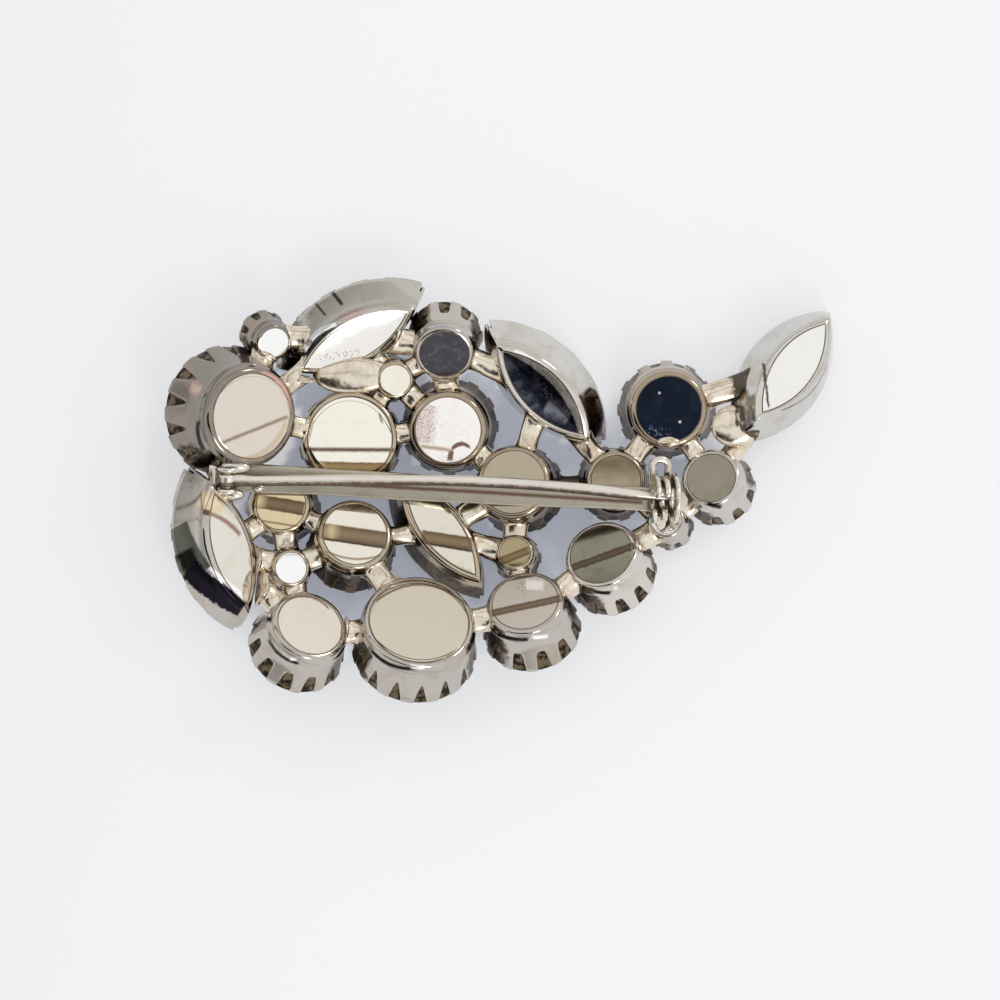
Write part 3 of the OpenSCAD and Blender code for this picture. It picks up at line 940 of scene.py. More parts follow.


# How each cup looks, in the order of the cups; marks are measured from the middle of its back. A back's tone partly
# stands for what it reflects, and besides tarnish and specks the marks are painted reflections and painted
# highlights: the bands across the backs, the dark lines and white strokes on the lower shoulders.
LOOKS: tuple[BackLook, ...] = (
    BackLook((0.76, 0.69, 0.62), cloudy=0.3, wall=DULL_WALL, marks=(
        Mark((-3.51, -2.83), (3.37, 0.02), 0.3, (0.34, 0.25, 0.19), soft=0.14),
        Mark((0.76, 4.16), (3.33, 0.55), 0.3, (0.9, 0.5, 0.42), bow=0.9, strength=0.8),
        Mark((-1.14, -4.02), (3.1, -0.2), 0.4, (0.62, 0.48, 0.32), bow=-1.0, soft=0.2, strength=0.8),
    ), wall_marks=(
        Mark((-4.84, -0.31), (-4.37, -3.35), 0.4, REFLECTED_BLACK, bow=-0.35),
        Mark((-5.89, 2.83), (-4.65, 2.26), 1.3, (0.45, 0.3, 0.25), soft=0.3, frayed=0.4),
    )),
    BackLook((0.66, 0.6, 0.5), cloudy=0.35, marks=(
        Mark((-4.16, 1.74), (4.39, 1.46), 0.25, (0.22, 0.16, 0.1), bow=1.75),
    ), wall_marks=(
        Mark((-4.54, -2.53), (0.21, -4.24), 0.33, REFLECTED_BLACK, bow=-0.7),
        Mark((-0.83, -4.05), (0.69, -4.15), 0.4, HIGHLIGHT_WHITE, bow=-0.1),
    )),
    BackLook((0.94, 0.9, 0.81), cloudy=0.15, wall=GOLD_WALL, marks=(
        Mark((-4.52, -0.98), (4.31, -1.03), 0.38, BROWN, soft=0.16),
        Mark((-4.33, -2.5), (4.41, -2.69), 0.85, (0.2, 0.13, 0.06), frayed=0.12),
        Mark((-4.33, -2.41), (-2.05, -2.5), 0.8, GOLD, fade=1.2, frayed=0.2),
        Mark((2.7, 2.53), (3.08, 1.39), 0.2, TAN),
    )),
    BackLook(
        (0.96, 0.93, 0.91), cloud=(0.8, 0.62, 0.55), cloudy=0.3, cloud_size=1.6, speck=(0.42, 0.28, 0.24),
        specks=0.8, speck_share=0.2, wall=BROWN_WALL,
        marks=(
            Mark((0.1, -3.0), (0.35, -1.8), 0.5, (0.2, 0.12, 0.09), frayed=0.12),
            Mark((0.2, -1.95), (2.2, -1.7), 0.4, (0.2, 0.12, 0.09), bow=0.5, frayed=0.12),
            Mark((-2.7, -1.5), (0.3, -1.9), 0.34, (0.5, 0.37, 0.27), soft=0.16, frayed=0.15),
            Mark((-2.6, -1.9), (1.6, -3.1), 0.25, (0.16, 0.1, 0.07), bow=-0.7),
            Mark((-2.0, 2.5), (-2.6, -1.2), 1.9, (0.62, 0.44, 0.38), frayed=0.5, soft=0.5, strength=0.6),
            Mark((-1.9, 2.6), (-2.5, -1.4), 2.0, (0.3, 0.19, 0.16), frayed=0.6, soft=0.5, dotted=True),
        ),
    ),
    BackLook(
        (0.01, 0.015, 0.026), cloud=(0.03, 0.04, 0.06), cloudy=0.5, cloud_size=2.0, speck=(0.16, 0.2, 0.28),
        specks=0.8, speck_share=0.12, gloss=0.16, wall=BROWN_WALL,
        marks=(
            Mark((-2.2, -2.0), (0.2, -2.6), 1.1, (0.12, 0.15, 0.24), frayed=0.6, soft=0.4, dotted=True),
            Mark((0.9, -1.2), (1.15, -1.2), 0.2, (0.7, 0.72, 0.75), fade=0.05),
            Mark((-1.0, 1.5), (-0.8, 1.5), 0.18, (0.7, 0.72, 0.75), fade=0.05),
        ),
    ),
    BackLook((0.58, 0.51, 0.45), cloudy=0.3, marks=(
        Mark((-3.28, -1.09), (3.46, 0.38), 0.65, (0.13, 0.09, 0.06), frayed=0.12),
        Mark((-0.05, 1.62), (1.85, 1.52), 0.95, (0.86, 0.8, 0.74), frayed=0.25, soft=0.15),
        Mark((-0.91, 1.9), (0.23, 1.05), 0.9, (0.25, 0.18, 0.13), frayed=0.3, dotted=True),
    ), wall_marks=(
        Mark((-2.71, -2.85), (0.42, -3.42), 0.35, REFLECTED_BLACK, bow=-0.25),
        Mark((0.52, -3.13), (2.23, -3.13), 0.35, HIGHLIGHT_WHITE, bow=-0.1),
    )),
    BackLook((0.78, 0.72, 0.63), marks=(
        Mark((-2.45, 2.23), (1.82, 1.38), 0.2, (0.25, 0.18, 0.12), bow=0.8),
    ), wall_marks=(
        Mark((-3.88, -1.19), (-0.84, -3.56), 0.3, REFLECTED_BLACK, bow=-0.5),
        Mark((-1.88, -3.09), (-1.03, -3.09), 0.3, HIGHLIGHT_WHITE),
    )),
    BackLook((0.46, 0.4, 0.3), cloud=(0.36, 0.3, 0.21), cloudy=0.4, speck=(0.2, 0.15, 0.1), specks=0.5,
        gloss=0.12, wall=BROWN_WALL),
    BackLook(
        (0.26, 0.25, 0.19), cloud=(0.17, 0.15, 0.1), cloudy=0.4, gloss=0.12, wall=(0.68, 0.64, 0.59),
        marks=(
            Mark((-2.79, -1.31), (3.29, 0.87), 0.65, (0.07, 0.05, 0.035), frayed=0.18),
        ), wall_marks=(
            Mark((-0.89, -3.4), (1.01, -3.59), 0.35, REFLECTED_BLACK, bow=-0.1),
            Mark((1.01, -3.21), (1.67, -3.12), 0.35, HIGHLIGHT_WHITE),
        ),
    ),
    BackLook((0.85, 0.8, 0.71), cloudy=0.15, wall=GOLD_WALL, marks=(
        Mark((-3.24, 0.34), (3.13, -0.57), 1.45, (0.16, 0.115, 0.07), frayed=0.12),
        Mark((-3.24, 0.38), (-1.15, 0.1), 1.4, GOLD, fade=1.4, frayed=0.2),
        Mark((-3.05, -0.42), (3.03, -1.33), 0.2, (0.06, 0.04, 0.025)),
        Mark((-2.86, -1.47), (2.56, -1.94), 0.2, (0.35, 0.27, 0.18), bow=-0.6),
    ), wall_marks=(
        Mark((-2.48, -2.89), (-0.1, -3.75), 0.35, REFLECTED_BLACK, bow=-0.3),
    )),
    BackLook(
        (0.066, 0.064, 0.074), cloud=(0.17, 0.165, 0.18), cloudy=0.75, cloud_size=0.9,
        speck=(0.26, 0.25, 0.26), specks=0.6, speck_share=0.12, gloss=0.2,
        marks=(
            Mark((-1.39, 2.25), (0.51, 2.44), 0.35, (0.45, 0.43, 0.46), bow=0.15, soft=0.15),
        ),
    ),
    BackLook((0.4, 0.34, 0.24), cloud=(0.28, 0.23, 0.15), cloudy=0.4, speck=(0.16, 0.12, 0.08), specks=0.4,
        gloss=0.12, wall=BROWN_WALL),
    BackLook(
        (0.3, 0.275, 0.215), cloud=(0.2, 0.18, 0.14), cloudy=0.4, cloud_size=1.8, speck=(0.14, 0.11, 0.08),
        specks=0.7, speck_share=0.18, gloss=0.14, wall=(0.62, 0.6, 0.57),
        wall_marks=(
            Mark((-0.52, -2.3), (1.1, -2.7), 0.4, REFLECTED_BLACK, bow=-0.1),
        ),
    ),
    BackLook((0.73, 0.6, 0.39), cloudy=0.2, wall=(0.6, 0.51, 0.37), marks=(
        Mark((-2.79, 0.47), (2.34, -0.39), 1.3, (0.12, 0.085, 0.05), frayed=0.12),
        Mark((-2.98, 0.56), (-1.08, 0.28), 1.3, GOLD, fade=1.2, frayed=0.2),
        Mark((-2.89, -1.34), (2.15, -2.1), 0.2, (0.3, 0.22, 0.12)),
    )),
    BackLook((0.97, 0.97, 0.97), cloudy=0.05, wall=DULL_WALL),
    BackLook((0.91, 0.87, 0.77), cloudy=0.15, wall=GOLD_WALL, marks=(
        Mark((-2.2, 0.12), (-1.34, 1.26), 0.35, UMBER),
    )),
    BackLook((0.75, 0.73, 0.7), marks=(
        Mark((0.0, -0.03), (1.33, -0.41), 0.3, TAN),
    )),
    BackLook((0.41, 0.34, 0.2), cloud=(0.3, 0.24, 0.14), cloudy=0.3, wall=GOLD_WALL, marks=(
        Mark((-1.7, -0.92), (1.44, 0.32), 0.75, (0.13, 0.095, 0.05)),
    )),
    BackLook((0.97, 0.97, 0.97), cloudy=0.05, wall=GOLD_WALL),
    BackLook((0.9, 0.88, 0.85), cloud=(0.74, 0.68, 0.62), cloudy=0.2, wall=(0.53, 0.515, 0.46), marks=(
        Mark((-5.67, -2.68), (-1.49, 1.59), 0.3, (0.03, 0.025, 0.03), bow=0.5, frayed=0.2),
        Mark((-5.67, -2.68), (-5.0, -1.54), 0.65, (0.03, 0.025, 0.03)),
        Mark((-4.81, -0.97), (-1.58, 1.59), 0.5, HIGHLIGHT_WHITE, bow=0.5),
        Mark((-1.58, 1.97), (0.89, 2.83), 0.6, (0.5, 0.33, 0.3), frayed=0.25, soft=0.2, strength=0.8),
        Mark((-3.67, -1.64), (0.51, -0.97), 0.65, (0.25, 0.23, 0.24), frayed=0.3, dotted=True),
    ), wall_marks=(
        Mark((-3.86, 3.68), (-2.67, 2.31), 0.2, (0.06, 0.06, 0.05)),
        Mark((-2.25, 4.73), (-1.11, 3.3), 0.33, (0.06, 0.06, 0.05)),
    )),
    BackLook(
        (0.016, 0.019, 0.034), cloud=(0.2, 0.21, 0.25), cloudy=0.8, cloud_size=1.8,
        speck=(0.36, 0.37, 0.42), specks=0.7, speck_share=0.16, gloss=0.16, wall=(0.66, 0.645, 0.61),
        marks=(
            Mark((-2.92, 3.9), (3.89, -4.03), 0.8, (0.97, 0.95, 0.92), bow=1.25, soft=0.1, frayed=0.16),
            Mark((-0.2, 0.9), (1.2, -1.2), 0.5, (0.45, 0.47, 0.58), soft=0.4, frayed=0.9, dotted=True),
            Mark((0.2, -1.1), (2.6, -2.3), 1.2, (0.3, 0.31, 0.37), soft=0.5, frayed=0.7, strength=0.7),
        ), wall_marks=(
            Mark((4.33, -0.17), (5.37, -4.16), 1.1, (0.1, 0.07, 0.05), soft=0.2, frayed=0.4),
        ),
    ),
    BackLook((0.9, 0.89, 0.85), cloud=(0.74, 0.72, 0.66), cloudy=0.2, wall=(0.64, 0.63, 0.6), marks=(
        Mark((-2.93, 0.61), (-2.46, -3.86), 0.24, (0.1, 0.08, 0.05), frayed=0.3),
        Mark((3.34, 0.7), (-1.41, -4.05), 0.1, BROWN, bow=0.9),
    ), wall_marks=(
        Mark((-5.69, -1.96), (-4.45, -2.72), 1.1, (0.16, 0.11, 0.07), soft=0.2, frayed=0.3),
        Mark((-5.31, -3.67), (-6.07, -6.33), 0.3, UMBER),
        Mark((-4.74, -6.04), (-3.79, -5.28), 0.3, REFLECTED_BLACK),
    )),
    BackLook((0.79, 0.76, 0.69), cloud=(0.6, 0.5, 0.36), cloudy=0.3, wall=(0.55, 0.52, 0.48), marks=(
        Mark((-2.4, 3.5), (0.9, 1.2), 0.4, (0.34, 0.23, 0.19), bow=0.35, soft=0.15),
        Mark((-2.91, 4.76), (-0.53, 3.91), 1.5, (0.8, 0.62, 0.38), soft=0.4, frayed=0.3),
        Mark((-2.55, 3.5), (-1.9, 3.34), 0.5, UMBER, fade=0.1),
        Mark((-2.15, -1.6), (1.75, -4.93), 0.4, HIGHLIGHT_WHITE),
    ), wall_marks=(
        # Painted dark reflection over the lower half of this wall
        Mark((-5.5, 1.9), (-3.2, -2.4), 3.2, (0.12, 0.125, 0.1), bow=-0.2, soft=0.12, frayed=0.15, fade=0.1),
        Mark((-4.5, -0.1), (-3.2, -2.6), 1.8, (0.01, 0.012, 0.01), soft=0.3, frayed=0.6),
        Mark((-4.0, -1.8), (1.15, -5.5), 2.1, (0.008, 0.006, 0.01), bow=-0.3, soft=0.12, frayed=0.35, fade=0.15),
    )),
    BackLook((0.76, 0.72, 0.62), cloudy=0.2, wall=GOLD_WALL, marks=(
        Mark((-1.97, -0.69), (3.07, -1.45), 1.25, (0.15, 0.105, 0.06), frayed=0.12),
        Mark((-1.4, -1.36), (3.07, -2.12), 0.2, (0.06, 0.04, 0.025)),
        Mark((-0.07, 2.35), (0.98, 1.4), 0.3, UMBER),
    )),
)


@dataclass(frozen=True)
class Crevices:
    """Where painted shade and old dirt sit: between neighbouring cups, and low down beside a wall.

    Both fade out as far as reach from the next wall, and a wall closes in what lies within sight of it; the same
    closed-in measure gives the floor its painted shadow.
    """

    cups: tuple[Cup, ...]
    reach: float = 6.5
    sight: float = 10.0
    on_navettes: float = 0.4
    prong_shade_and_dirt: float = 0.36
    gap_shade_and_dirt: float = 0.42

    def by_wall(self, index: int, points: Array) -> Array:
        """Painted shade and dirt on a cup's wall: nearness to the nearest other wall times how far it lies under
        both backs.
        """
        cup = self.cups[index]
        _, own = cup.gap_and_depth(points)
        dirt_and_shade = np.zeros(len(points))
        outward = points - np.array(cup.at)
        outward = unit(outward - np.outer(outward @ cup.frame[:, 2], cup.frame[:, 2]))
        for j, other in enumerate(self.cups):
            if j != index:
                gap, depth = other.gap_and_depth(points)
                near = 1 - ramp(gap, 0.4, self.reach)
                toward = unit(np.array(other.at) - points)
                near = near * ramp(np.sum(outward * toward, axis=1), -0.05, 0.45)
                dirt_and_shade = np.maximum(dirt_and_shade, near * ramp(depth, -0.2, 1.0))
        if cup.size is OVAL:
            dirt_and_shade *= self.on_navettes
        tall = cup.size.depth
        at_prongs = ramp(own, 0.72 * tall, 0.2 * tall) * self.prong_shade_and_dirt
        in_gap = self.shut_in(points) * ramp(own, 0.45 * tall, 0.8) * self.gap_shade_and_dirt
        below_edge = dirt_and_shade * ramp(own, 0.6, 1.2) * 1.3
        return np.clip(np.maximum(below_edge, np.maximum(at_prongs, in_gap)), 0, 1)

    def enclosed(self, points: Array) -> Array:
        """How much of the view all round from each point ends at a cup's wall within sight, from 0 to 1."""
        rings = []
        for cup in self.cups:
            spread, radius = ((0.0,), cup.size.ring * 0.9) if cup.is_round else ((-3.6, 0.0, 3.6), 2.5)
            rings += [(cup.inside(cup.size.depth * 0.6) + cup.frame[:, 0] * k, radius) for k in spread]
        way = round_angles(32)
        met = np.zeros((len(points), len(way)), bool)
        for centre, radius in rings:
            off = centre[:2] - points[:, :2]
            along = off[:, :1] * np.cos(way) + off[:, 1:] * np.sin(way)
            across = off[:, 1:] * np.cos(way) - off[:, :1] * np.sin(way)
            outside = np.hypot(off[:, :1], off[:, 1:]) > radius
            met |= outside & (np.abs(across) < radius) & (along > 0) & (along < self.sight + radius)
        return met.mean(axis=1)

    def shut_in(self, points: Array) -> Array:
        """1 where more than about nine tenths of the round view is closed in, 0 under seven tenths."""
        return ramp(self.enclosed(points), 0.7, 0.2)

    def on_solder(self, points: Array) -> Array:
        """Painted shade and flux on solder: how far it lies under the backs around it, most of all against a wall.
        """
        gaps, depths = (np.stack(v) for v in zip(*(cup.gap_and_depth(points) for cup in self.cups)))
        near = gaps < 2.5
        depth = np.min(np.where(near, depths, 9.0), axis=0)
        tight = np.min(np.where(near, np.abs(gaps), 9.0), axis=0)
        low_down = ramp(depth, 1.15, 1.1) * 0.8
        in_corner = (1 - ramp(tight, 0, 0.3)) * ramp(depth, 0.5, 0.8) * 0.6
        return low_down + in_corner


# Which cups are soldered together, by their numbers from 0
JOINS = (
    (14, 19), (14, 0), (19, 0), (19, 15), (19, 10), (10, 15), (10, 3), (10, 20), (15, 2),
    (3, 2), (3, 7), (20, 7), (20, 11), (7, 11), (11, 4), (4, 21), (4, 12), (12, 16),
    (16, 8), (8, 5), (5, 1), (1, 6), (6, 22), (18, 6), (18, 9), (9, 1), (9, 23),
    (9, 13), (13, 22), (0, 2), (13, 2), (17, 23), (17, 5), (17, 7), (7, 23), (22, 0),
    (12, 21), (18, 22), (11, 16), (3, 15), (18, 13),
)


@dataclass
class SolderWork:
    """The uneven joints between the cups.

    A joint runs depth under the backs, or low_depth where it is one of low_joins, and its ends are sunk
    into the walls. A pool is a blob by its centre and radii.
    """

    radius: float = 1.3
    depth: float = 1.5
    low_joins: tuple[tuple[int, int], ...] = ((22, 0), (7, 11))
    low_depth: float = 3.4
    sunk: float = 0.4
    shortest: float = 0.9
    pools: tuple[tuple[tuple[float, ...], tuple[float, ...]], ...] = (
        ((-13.4, 10.05, 5.4), (3.8, 1.75, 0.6)),
        ((16.3, 3.75, 5.15), (1.1, 0.55, 0.35)),
        ((22.6, 5.2, 5.2), (2.4, 1.9, 0.7)),
    )

    def lump(
        self, path: Array, size: Array, seed: int, wide: float, tall: float, held: Sequence[Cup] = ()
    ) -> Skin:
        """A closed lumpy rod: radius at (t, a) = size(t) * (1 + sum of four waves in t and a), flattened.

        Towards each end the points that stand off the cup there are drawn on to its wall, along the rod.

        Args:
            path: Points from end to end, (n, 3).
            size: Radius at each point, (n,), tending to 0 at both ends.
            seed: Chooses the waves.
            wide: Share of the radius sideways.
            tall: Share of the radius upwards.
            held: The cups at its first and last end, if it joins two.

        Returns:
            The surface.
        """
        n, m = len(path), 24
        u = unit(path[-1] - path[0])
        side = unit(np.cross(u, Z))
        up = np.cross(u, side)
        t = np.linspace(0, 1, n)[:, None]
        a = round_angles(m)[None, :]
        rng = np.random.default_rng(seed)
        wave = np.zeros((n, m))
        for k in range(1, 5):
            phase = rng.uniform(0, 2 * math.pi, 2)
            wave += rng.uniform(0.03, 0.08) * np.sin(k * a + phase[0]) * np.cos(k * 2.1 * t + phase[1])
        r = size[:, None] * (1 + wave)
        x, y = (r * wide * np.cos(a))[..., None], (r * tall * np.sin(a))[..., None]
        rows = path[:, None] + side * x + up * y
        for cup, way, share in zip(held, (-u, u), (1 - t, t)):
            for _ in range(3):
                gap = cup.gap_and_depth(rows.reshape(-1, 3))[0].reshape(n, m)
                pull = np.clip(gap + 0.12, 0, 1.5) * ramp(share, 0.55, 0.4)
                rows = rows + way * pull[..., None]
        return Skin.closed(rows)

    def pool(self, centre: Sequence[float], radii: Sequence[float], seed: int) -> Skin:
        """A round blob of solder: an ellipsoid with waves."""
        s = np.linspace(-0.995, 0.995, 17)
        path = np.array(centre) + radii[0] * X * s[:, None]
        return self.lump(path, np.sqrt(1 - s * s), seed, radii[1], radii[2])

    def build(self, cups: Sequence[Cup], material: bpy.types.Material, shade_and_dirt: Any) -> bpy.types.Object:
        """Lays a lump between each pair of joined cups.

        Args:
            cups: The cups.
            material: Finish of the solder.
            shade_and_dirt: Function from points to painted shade and dirt.

        Returns:
            One object with all the joints.
        """
        skins = []
        s = np.linspace(0, 1, 19)
        ends = np.sqrt(np.clip(1 - (2 * s - 1) ** 10, 0, 1))
        for seed, (i, j) in enumerate(JOINS):
            a, b = cups[i], cups[j]
            w = self.low_depth if (i, j) in self.low_joins else self.depth
            p, q = a.inside(w), b.inside(w)
            length = float(np.linalg.norm(q - p))
            u = (q - p) / length
            first = a.reach(u, w) - self.sunk
            last = length - b.reach(-u, w) + self.sunk
            if last - first < self.shortest:
                middle = (first + last) / 2
                first, last = middle - 0.6, middle + 0.6
            path = p + u * (first + (last - first) * s)[:, None]
            rng = np.random.default_rng(100 + seed)
            share = min(1.0, 0.5 + 0.12 * min(a.size.depth, b.size.depth))
            thick = self.radius * rng.uniform(0.9, 1.15) * share
            size = thick * (0.62 + 0.45 * np.abs(2 * s - 1) ** 2.5) * ends
            skins.append(self.lump(path, size, seed, wide=1.3, tall=0.9, held=(a, b)))
        skins += [self.pool(*blob, 60 + k) for k, blob in enumerate(self.pools)]
        return Skin.joined(skins).piece("solder_joints", [material], smooth_below=70, shade_and_dirt=shade_and_dirt)


# Pin, hinge and catch


@dataclass
class PinBack:
    """Flat bar, hinge ears, rivet, pin stem and turning catch, set on their own leaning frame.

    The frame's origin is the middle of the rivet, its x runs along the pin and its z away from the stones.
    A lobe is a blob of solder by its centre and radii.
    """

    turn: float = -2.4
    roll: float = 14.0
    bar_turn: float = -0.7
    bar_width: float = 2.5
    bar_thick: float = 0.7
    bar_low: float = -2.45
    bar_span: tuple[float, float] = (-1.95, 43.05)
    stem_length: float = 41.2
    stem_radius: float = 0.525
    stem_bow: float = 0.85
    tip_radius: float = 0.1
    catch_at: float = 40.8
    catch_lean: float = 10.0
    catch_radius: float = 2.4
    catch_width: float = 2.4
    catch_bore: float = 1.0
    jaw: float = 0.55
    roller_radius: float = 2.15
    roller_half: float = 0.32
    tab_angle: float = 115.0
    loop_wide: float = 1.5
    loop_far: float = 3.0
    loop_low: float = -1.3
    ear_thick: float = 0.62
    ear_foot: float = -2.2
    ear_places: tuple[float, float] = (0.72, -1.34)
    lobes: tuple[tuple[tuple[float, ...], tuple[float, ...]], ...] = (
        ((0.75, 1.35, 0.1), (1.35, 0.62, 0.62)),
        ((0.55, -1.32, 0.0), (1.1, 0.58, 0.55)),
        ((2.8, -0.85, -1.65), (0.6, 0.45, 0.4)),
    )

    def __post_init__(self) -> None:
        """Works out the pin's frame and the catch's frame."""
        self.frame = turned("z", self.turn) @ turned("x", self.roll)
        self.catch_frame = self.frame @ turned("y", self.catch_lean)
        self.catch_centre = PIVOT + self.frame @ (self.catch_at * X)

    def at_pin(self, skin: Skin) -> Skin:
        """Puts a skin of the pin's own frame in its place."""
        return skin.moved(self.frame, PIVOT)

    def at_catch(self, skin: Skin) -> Skin:
        """Puts a skin of the catch's own frame in its place."""
        return skin.moved(self.catch_frame, self.catch_centre)

    def bar(self, material: bpy.types.Material) -> bpy.types.Object:
        """The flat bar: a rounded oblong profile carried along x, drawn in at its ends and thin by the catch."""
        first, last = self.bar_span
        x = np.linspace(first, last, 120)
        end = np.clip(np.minimum(x - first + 0.05, last + 0.05 - x) / 1.2, 0, 1)
        width = np.sqrt(1 - (1 - end) ** 2) * (1 + 0.03 * np.sin(x * 0.5)) * (1.06 - 0.004 * (x + 3))
        under_catch = 1 - 0.75 * np.exp(-(((x - self.catch_at + 0.37) / 0.85) ** 8))
        path = np.stack([x, 0.05 * np.sin(x * 0.21), self.bar_low + self.bar_thick * under_catch / 2], 1)
        scale = np.stack([np.maximum(width, 0.1), under_catch * np.maximum(end ** 0.2, 0.5)], 1)
        section = oval(self.bar_width / 2, self.bar_thick / 2, 9.0, 40)
        skin = carried(path, Y, Z, section, scale).moved(turned("z", self.bar_turn), np.zeros(3))
        return self.at_pin(skin).piece("pin_bar", [material])

    def ears(self, material: bpy.types.Material) -> bpy.types.Object:
        """Two ears, inset copies of an outline stepped through their thickness, a fold and solder lobes."""
        t = np.linspace(0, math.pi, 21)
        top = np.stack([1.04 * np.cos(t), 0.95 * np.sin(t)], 1)
        side = np.stack([np.linspace(-1.0, -0.92, 5), np.linspace(0, self.ear_foot, 6)[1:]], 1)
        foot = np.array([[-0.45, self.ear_foot], [0.45, self.ear_foot]])
        other = side[::-1] * [-1, 1]
        outline = np.concatenate([top, side, foot, other])
        middle = np.array([0, -0.5])
        swell = np.array([0.3, 0.7, 0.86, 0.94, 0.985])
        inset = np.concatenate([swell, [1.0], swell[::-1]])
        depth = np.array([0, 0, 0.03, 0.1, 0.2, 0.31, 0.42, 0.52, 0.59, self.ear_thick, self.ear_thick])
        flat = middle + (outline - middle) * inset[:, None, None]
        skins = []
        for y in self.ear_places:
            level = np.broadcast_to(y + depth[:, None], flat.shape[:2])
            skins.append(Skin.closed(np.stack([flat[..., 0], level, flat[..., 1]], -1)))
        y = np.array([-1.22, -1.2, -1.1, 0.0, 1.1, 1.2, 1.22])
        size = np.array([0.8, 0.95, 1, 1, 1, 0.95, 0.8])
        fold_path = np.stack([np.full(7, -1.45), y, np.full(7, -1.6)], 1)
        skins.append(carried(fold_path, X, -Z, oval(0.4, 0.65, 5, 28), size))
        t = np.linspace(0, math.pi, 15)
        ball = spun(np.round(np.stack([np.sin(t), np.cos(t)], 1), 9), 24)
        skins += [ball.moved(np.diag(radii), np.array(centre)) for centre, radii in self.lobes]
        return self.at_pin(Skin.joined(skins)).piece("hinge_ears", [material])

    def rivet(self, material: bpy.types.Material) -> bpy.types.Object:
        """The rivet: a plain round rod with softened ends, turned round the pivot."""
        half = np.array([[0, 1.19], [0.2, 1.19], [0.3, 1.16], [0.34, 1.1], [0.35, 1.0], [0.35, 0.3]])
        skin = spun(np.concatenate([half, half[::-1] * [1, -1]]), 24).moved(turned("x", 90), np.zeros(3))
        return self.at_pin(skin).piece("rivet", [material], stands_for="hinge_rivet")

    def stem(self, material: bpy.types.Material) -> bpy.types.Object:
        """The pin: a round profile carried along a bent line to a point, and an eye round the rivet."""
        length, near_tip = self.stem_length, self.stem_length * 0.8
        x = np.concatenate([np.linspace(0.55, near_tip, 34), np.linspace(near_tip, length, 26)[1:]])
        far = ramp(x / length, 0.92, 0.08)
        r = self.stem_radius + (self.tip_radius - self.stem_radius) * far ** 1.5
        r[-1] *= 0.5
        flat = 1 + 0.18 * np.exp(-((x - 0.8) / 0.9) ** 2)
        path = np.stack([x, self.bent(x), np.zeros_like(x)], 1)
        rod = carried(path, Y, Z, oval(1, 1, 2, 24), np.stack([r * flat, r / flat], 1))
        outer = [[0.76, 0], [0.8, 0.2], [0.79, 0.42], [0.72, 0.53]]
        half = np.array(outer + [[0.6, 0.56], [0.44, 0.53], [0.41, 0.3]])
        ring = np.concatenate([half[::-1], half[1:] * [1, -1], [[0.41, -0.3]]])
        eye = spun(ring, 32, True).moved(turned("x", 90), np.zeros(3))
        placed = self.at_pin(Skin.joined([rod, eye]))
        return placed.piece(
            "pin", [material], "pin", "pin_steel", "pin_stem", smooth_below=50, shade_and_dirt=self.shade_under_stem
        )

    def arc(self, x0: float, x1: float, r0: float, r1: float, start: float, end: float) -> Skin:
        """Part of a ring round x: a rounded oblong profile carried round from start to end.

        Args:
            x0: Lower end along x.
            x1: Upper end along x.
            r0: Inner radius.
            r1: Outer radius.
            start: Angle in degrees from +z towards -y where it starts.
            end: Angle where it ends.

        Returns:
            The surface, closed at both ends, which meet when it covers 360 degrees.
        """
        n = max(8, int((end - start) / 5))
        a = np.radians(np.linspace(start, end, n + 1))
        radial = np.stack([np.zeros_like(a), -np.sin(a), np.cos(a)], 1)
        path = radial * (r0 + r1) / 2 + [(x0 + x1) / 2, 0, 0]
        section = oval((x1 - x0) / 2, (r1 - r0) / 2, 3.2, 20)
        grow = np.ones(n + 1)
        if end - start < 360:
            grow[[0, -1]] = 0.72
            step = np.stack([np.zeros_like(a), -np.cos(a), -np.sin(a)], 1) * 0.03
            path[0] -= step[0]
            path[-1] += step[-1]
        return carried(path, X, radial, section, grow)

    def housing(self, material: bpy.types.Material) -> bpy.types.Object:
        """The catch's fixed part: an open jaw, a closed jaw, the web under them and a loop of wire."""
        h, r, wide, far, low = self.catch_width / 2, self.catch_radius, self.loop_wide, self.loop_far, self.loop_low
        open_jaw = self.arc(-h, -h + self.jaw, self.catch_bore, r, 66, 350)
        closed_jaw = self.arc(h - self.jaw, h, self.catch_bore, r, 0, 360)
        web = self.arc(-h + 0.1, h - 0.1, 2.0, r, 128, 232)
        bend = np.linspace(0, 1, 7)
        left = np.stack([np.full(5, -h + 0.2), np.linspace(1.2, far, 5), np.full(5, low)], 1)
        swing = far + 0.5 * np.sin(bend * math.pi) ** 0.5
        turn = np.stack([-h + 0.2 + wide * bend, swing, np.full(7, low)], 1)
        right = left[::-1] + wide * X
        path = np.concatenate([left, turn[1:-1], right])
        across = np.cross(unit(np.gradient(path, axis=0)), Z)
        loop = carried(path, across, Z, oval(0.34, 0.3, 3, 16))
        placed = self.at_catch(Skin.joined([open_jaw, closed_jaw, web, loop]))
        return placed.piece("catch_housing", [material], smooth_below=50, shade_and_dirt=self.shade_and_dirt_between_ribs)

    def shade_and_dirt_between_ribs(self, points: Array) -> Array:
        """Painted shade and dirt in the catch: full in the gap between the jaws, away from the loop."""
        own = (points - self.catch_centre) @ self.catch_frame
        from_axis = np.hypot(own[:, 1], own[:, 2])
        return np.where((np.abs(own[:, 0]) < 0.62) & (from_axis < 2.7), 1.0, 0.0)

    def bent(self, x: Array) -> Array:
        """How far the bent pin stands off a straight one: bow * sin(pi * (x / length) ^ 1.25)."""
        return self.stem_bow * np.sin(math.pi * np.clip(x / self.stem_length, 0, 1) ** 1.25)

    def shade_under_stem(self, points: Array) -> Array:
        """Painted shade along the lower side of the pin."""
        own = (points - PIVOT) @ self.frame
        return ramp(self.bent(own[:, 0]) - own[:, 1], -0.02, 0.2) * 0.8

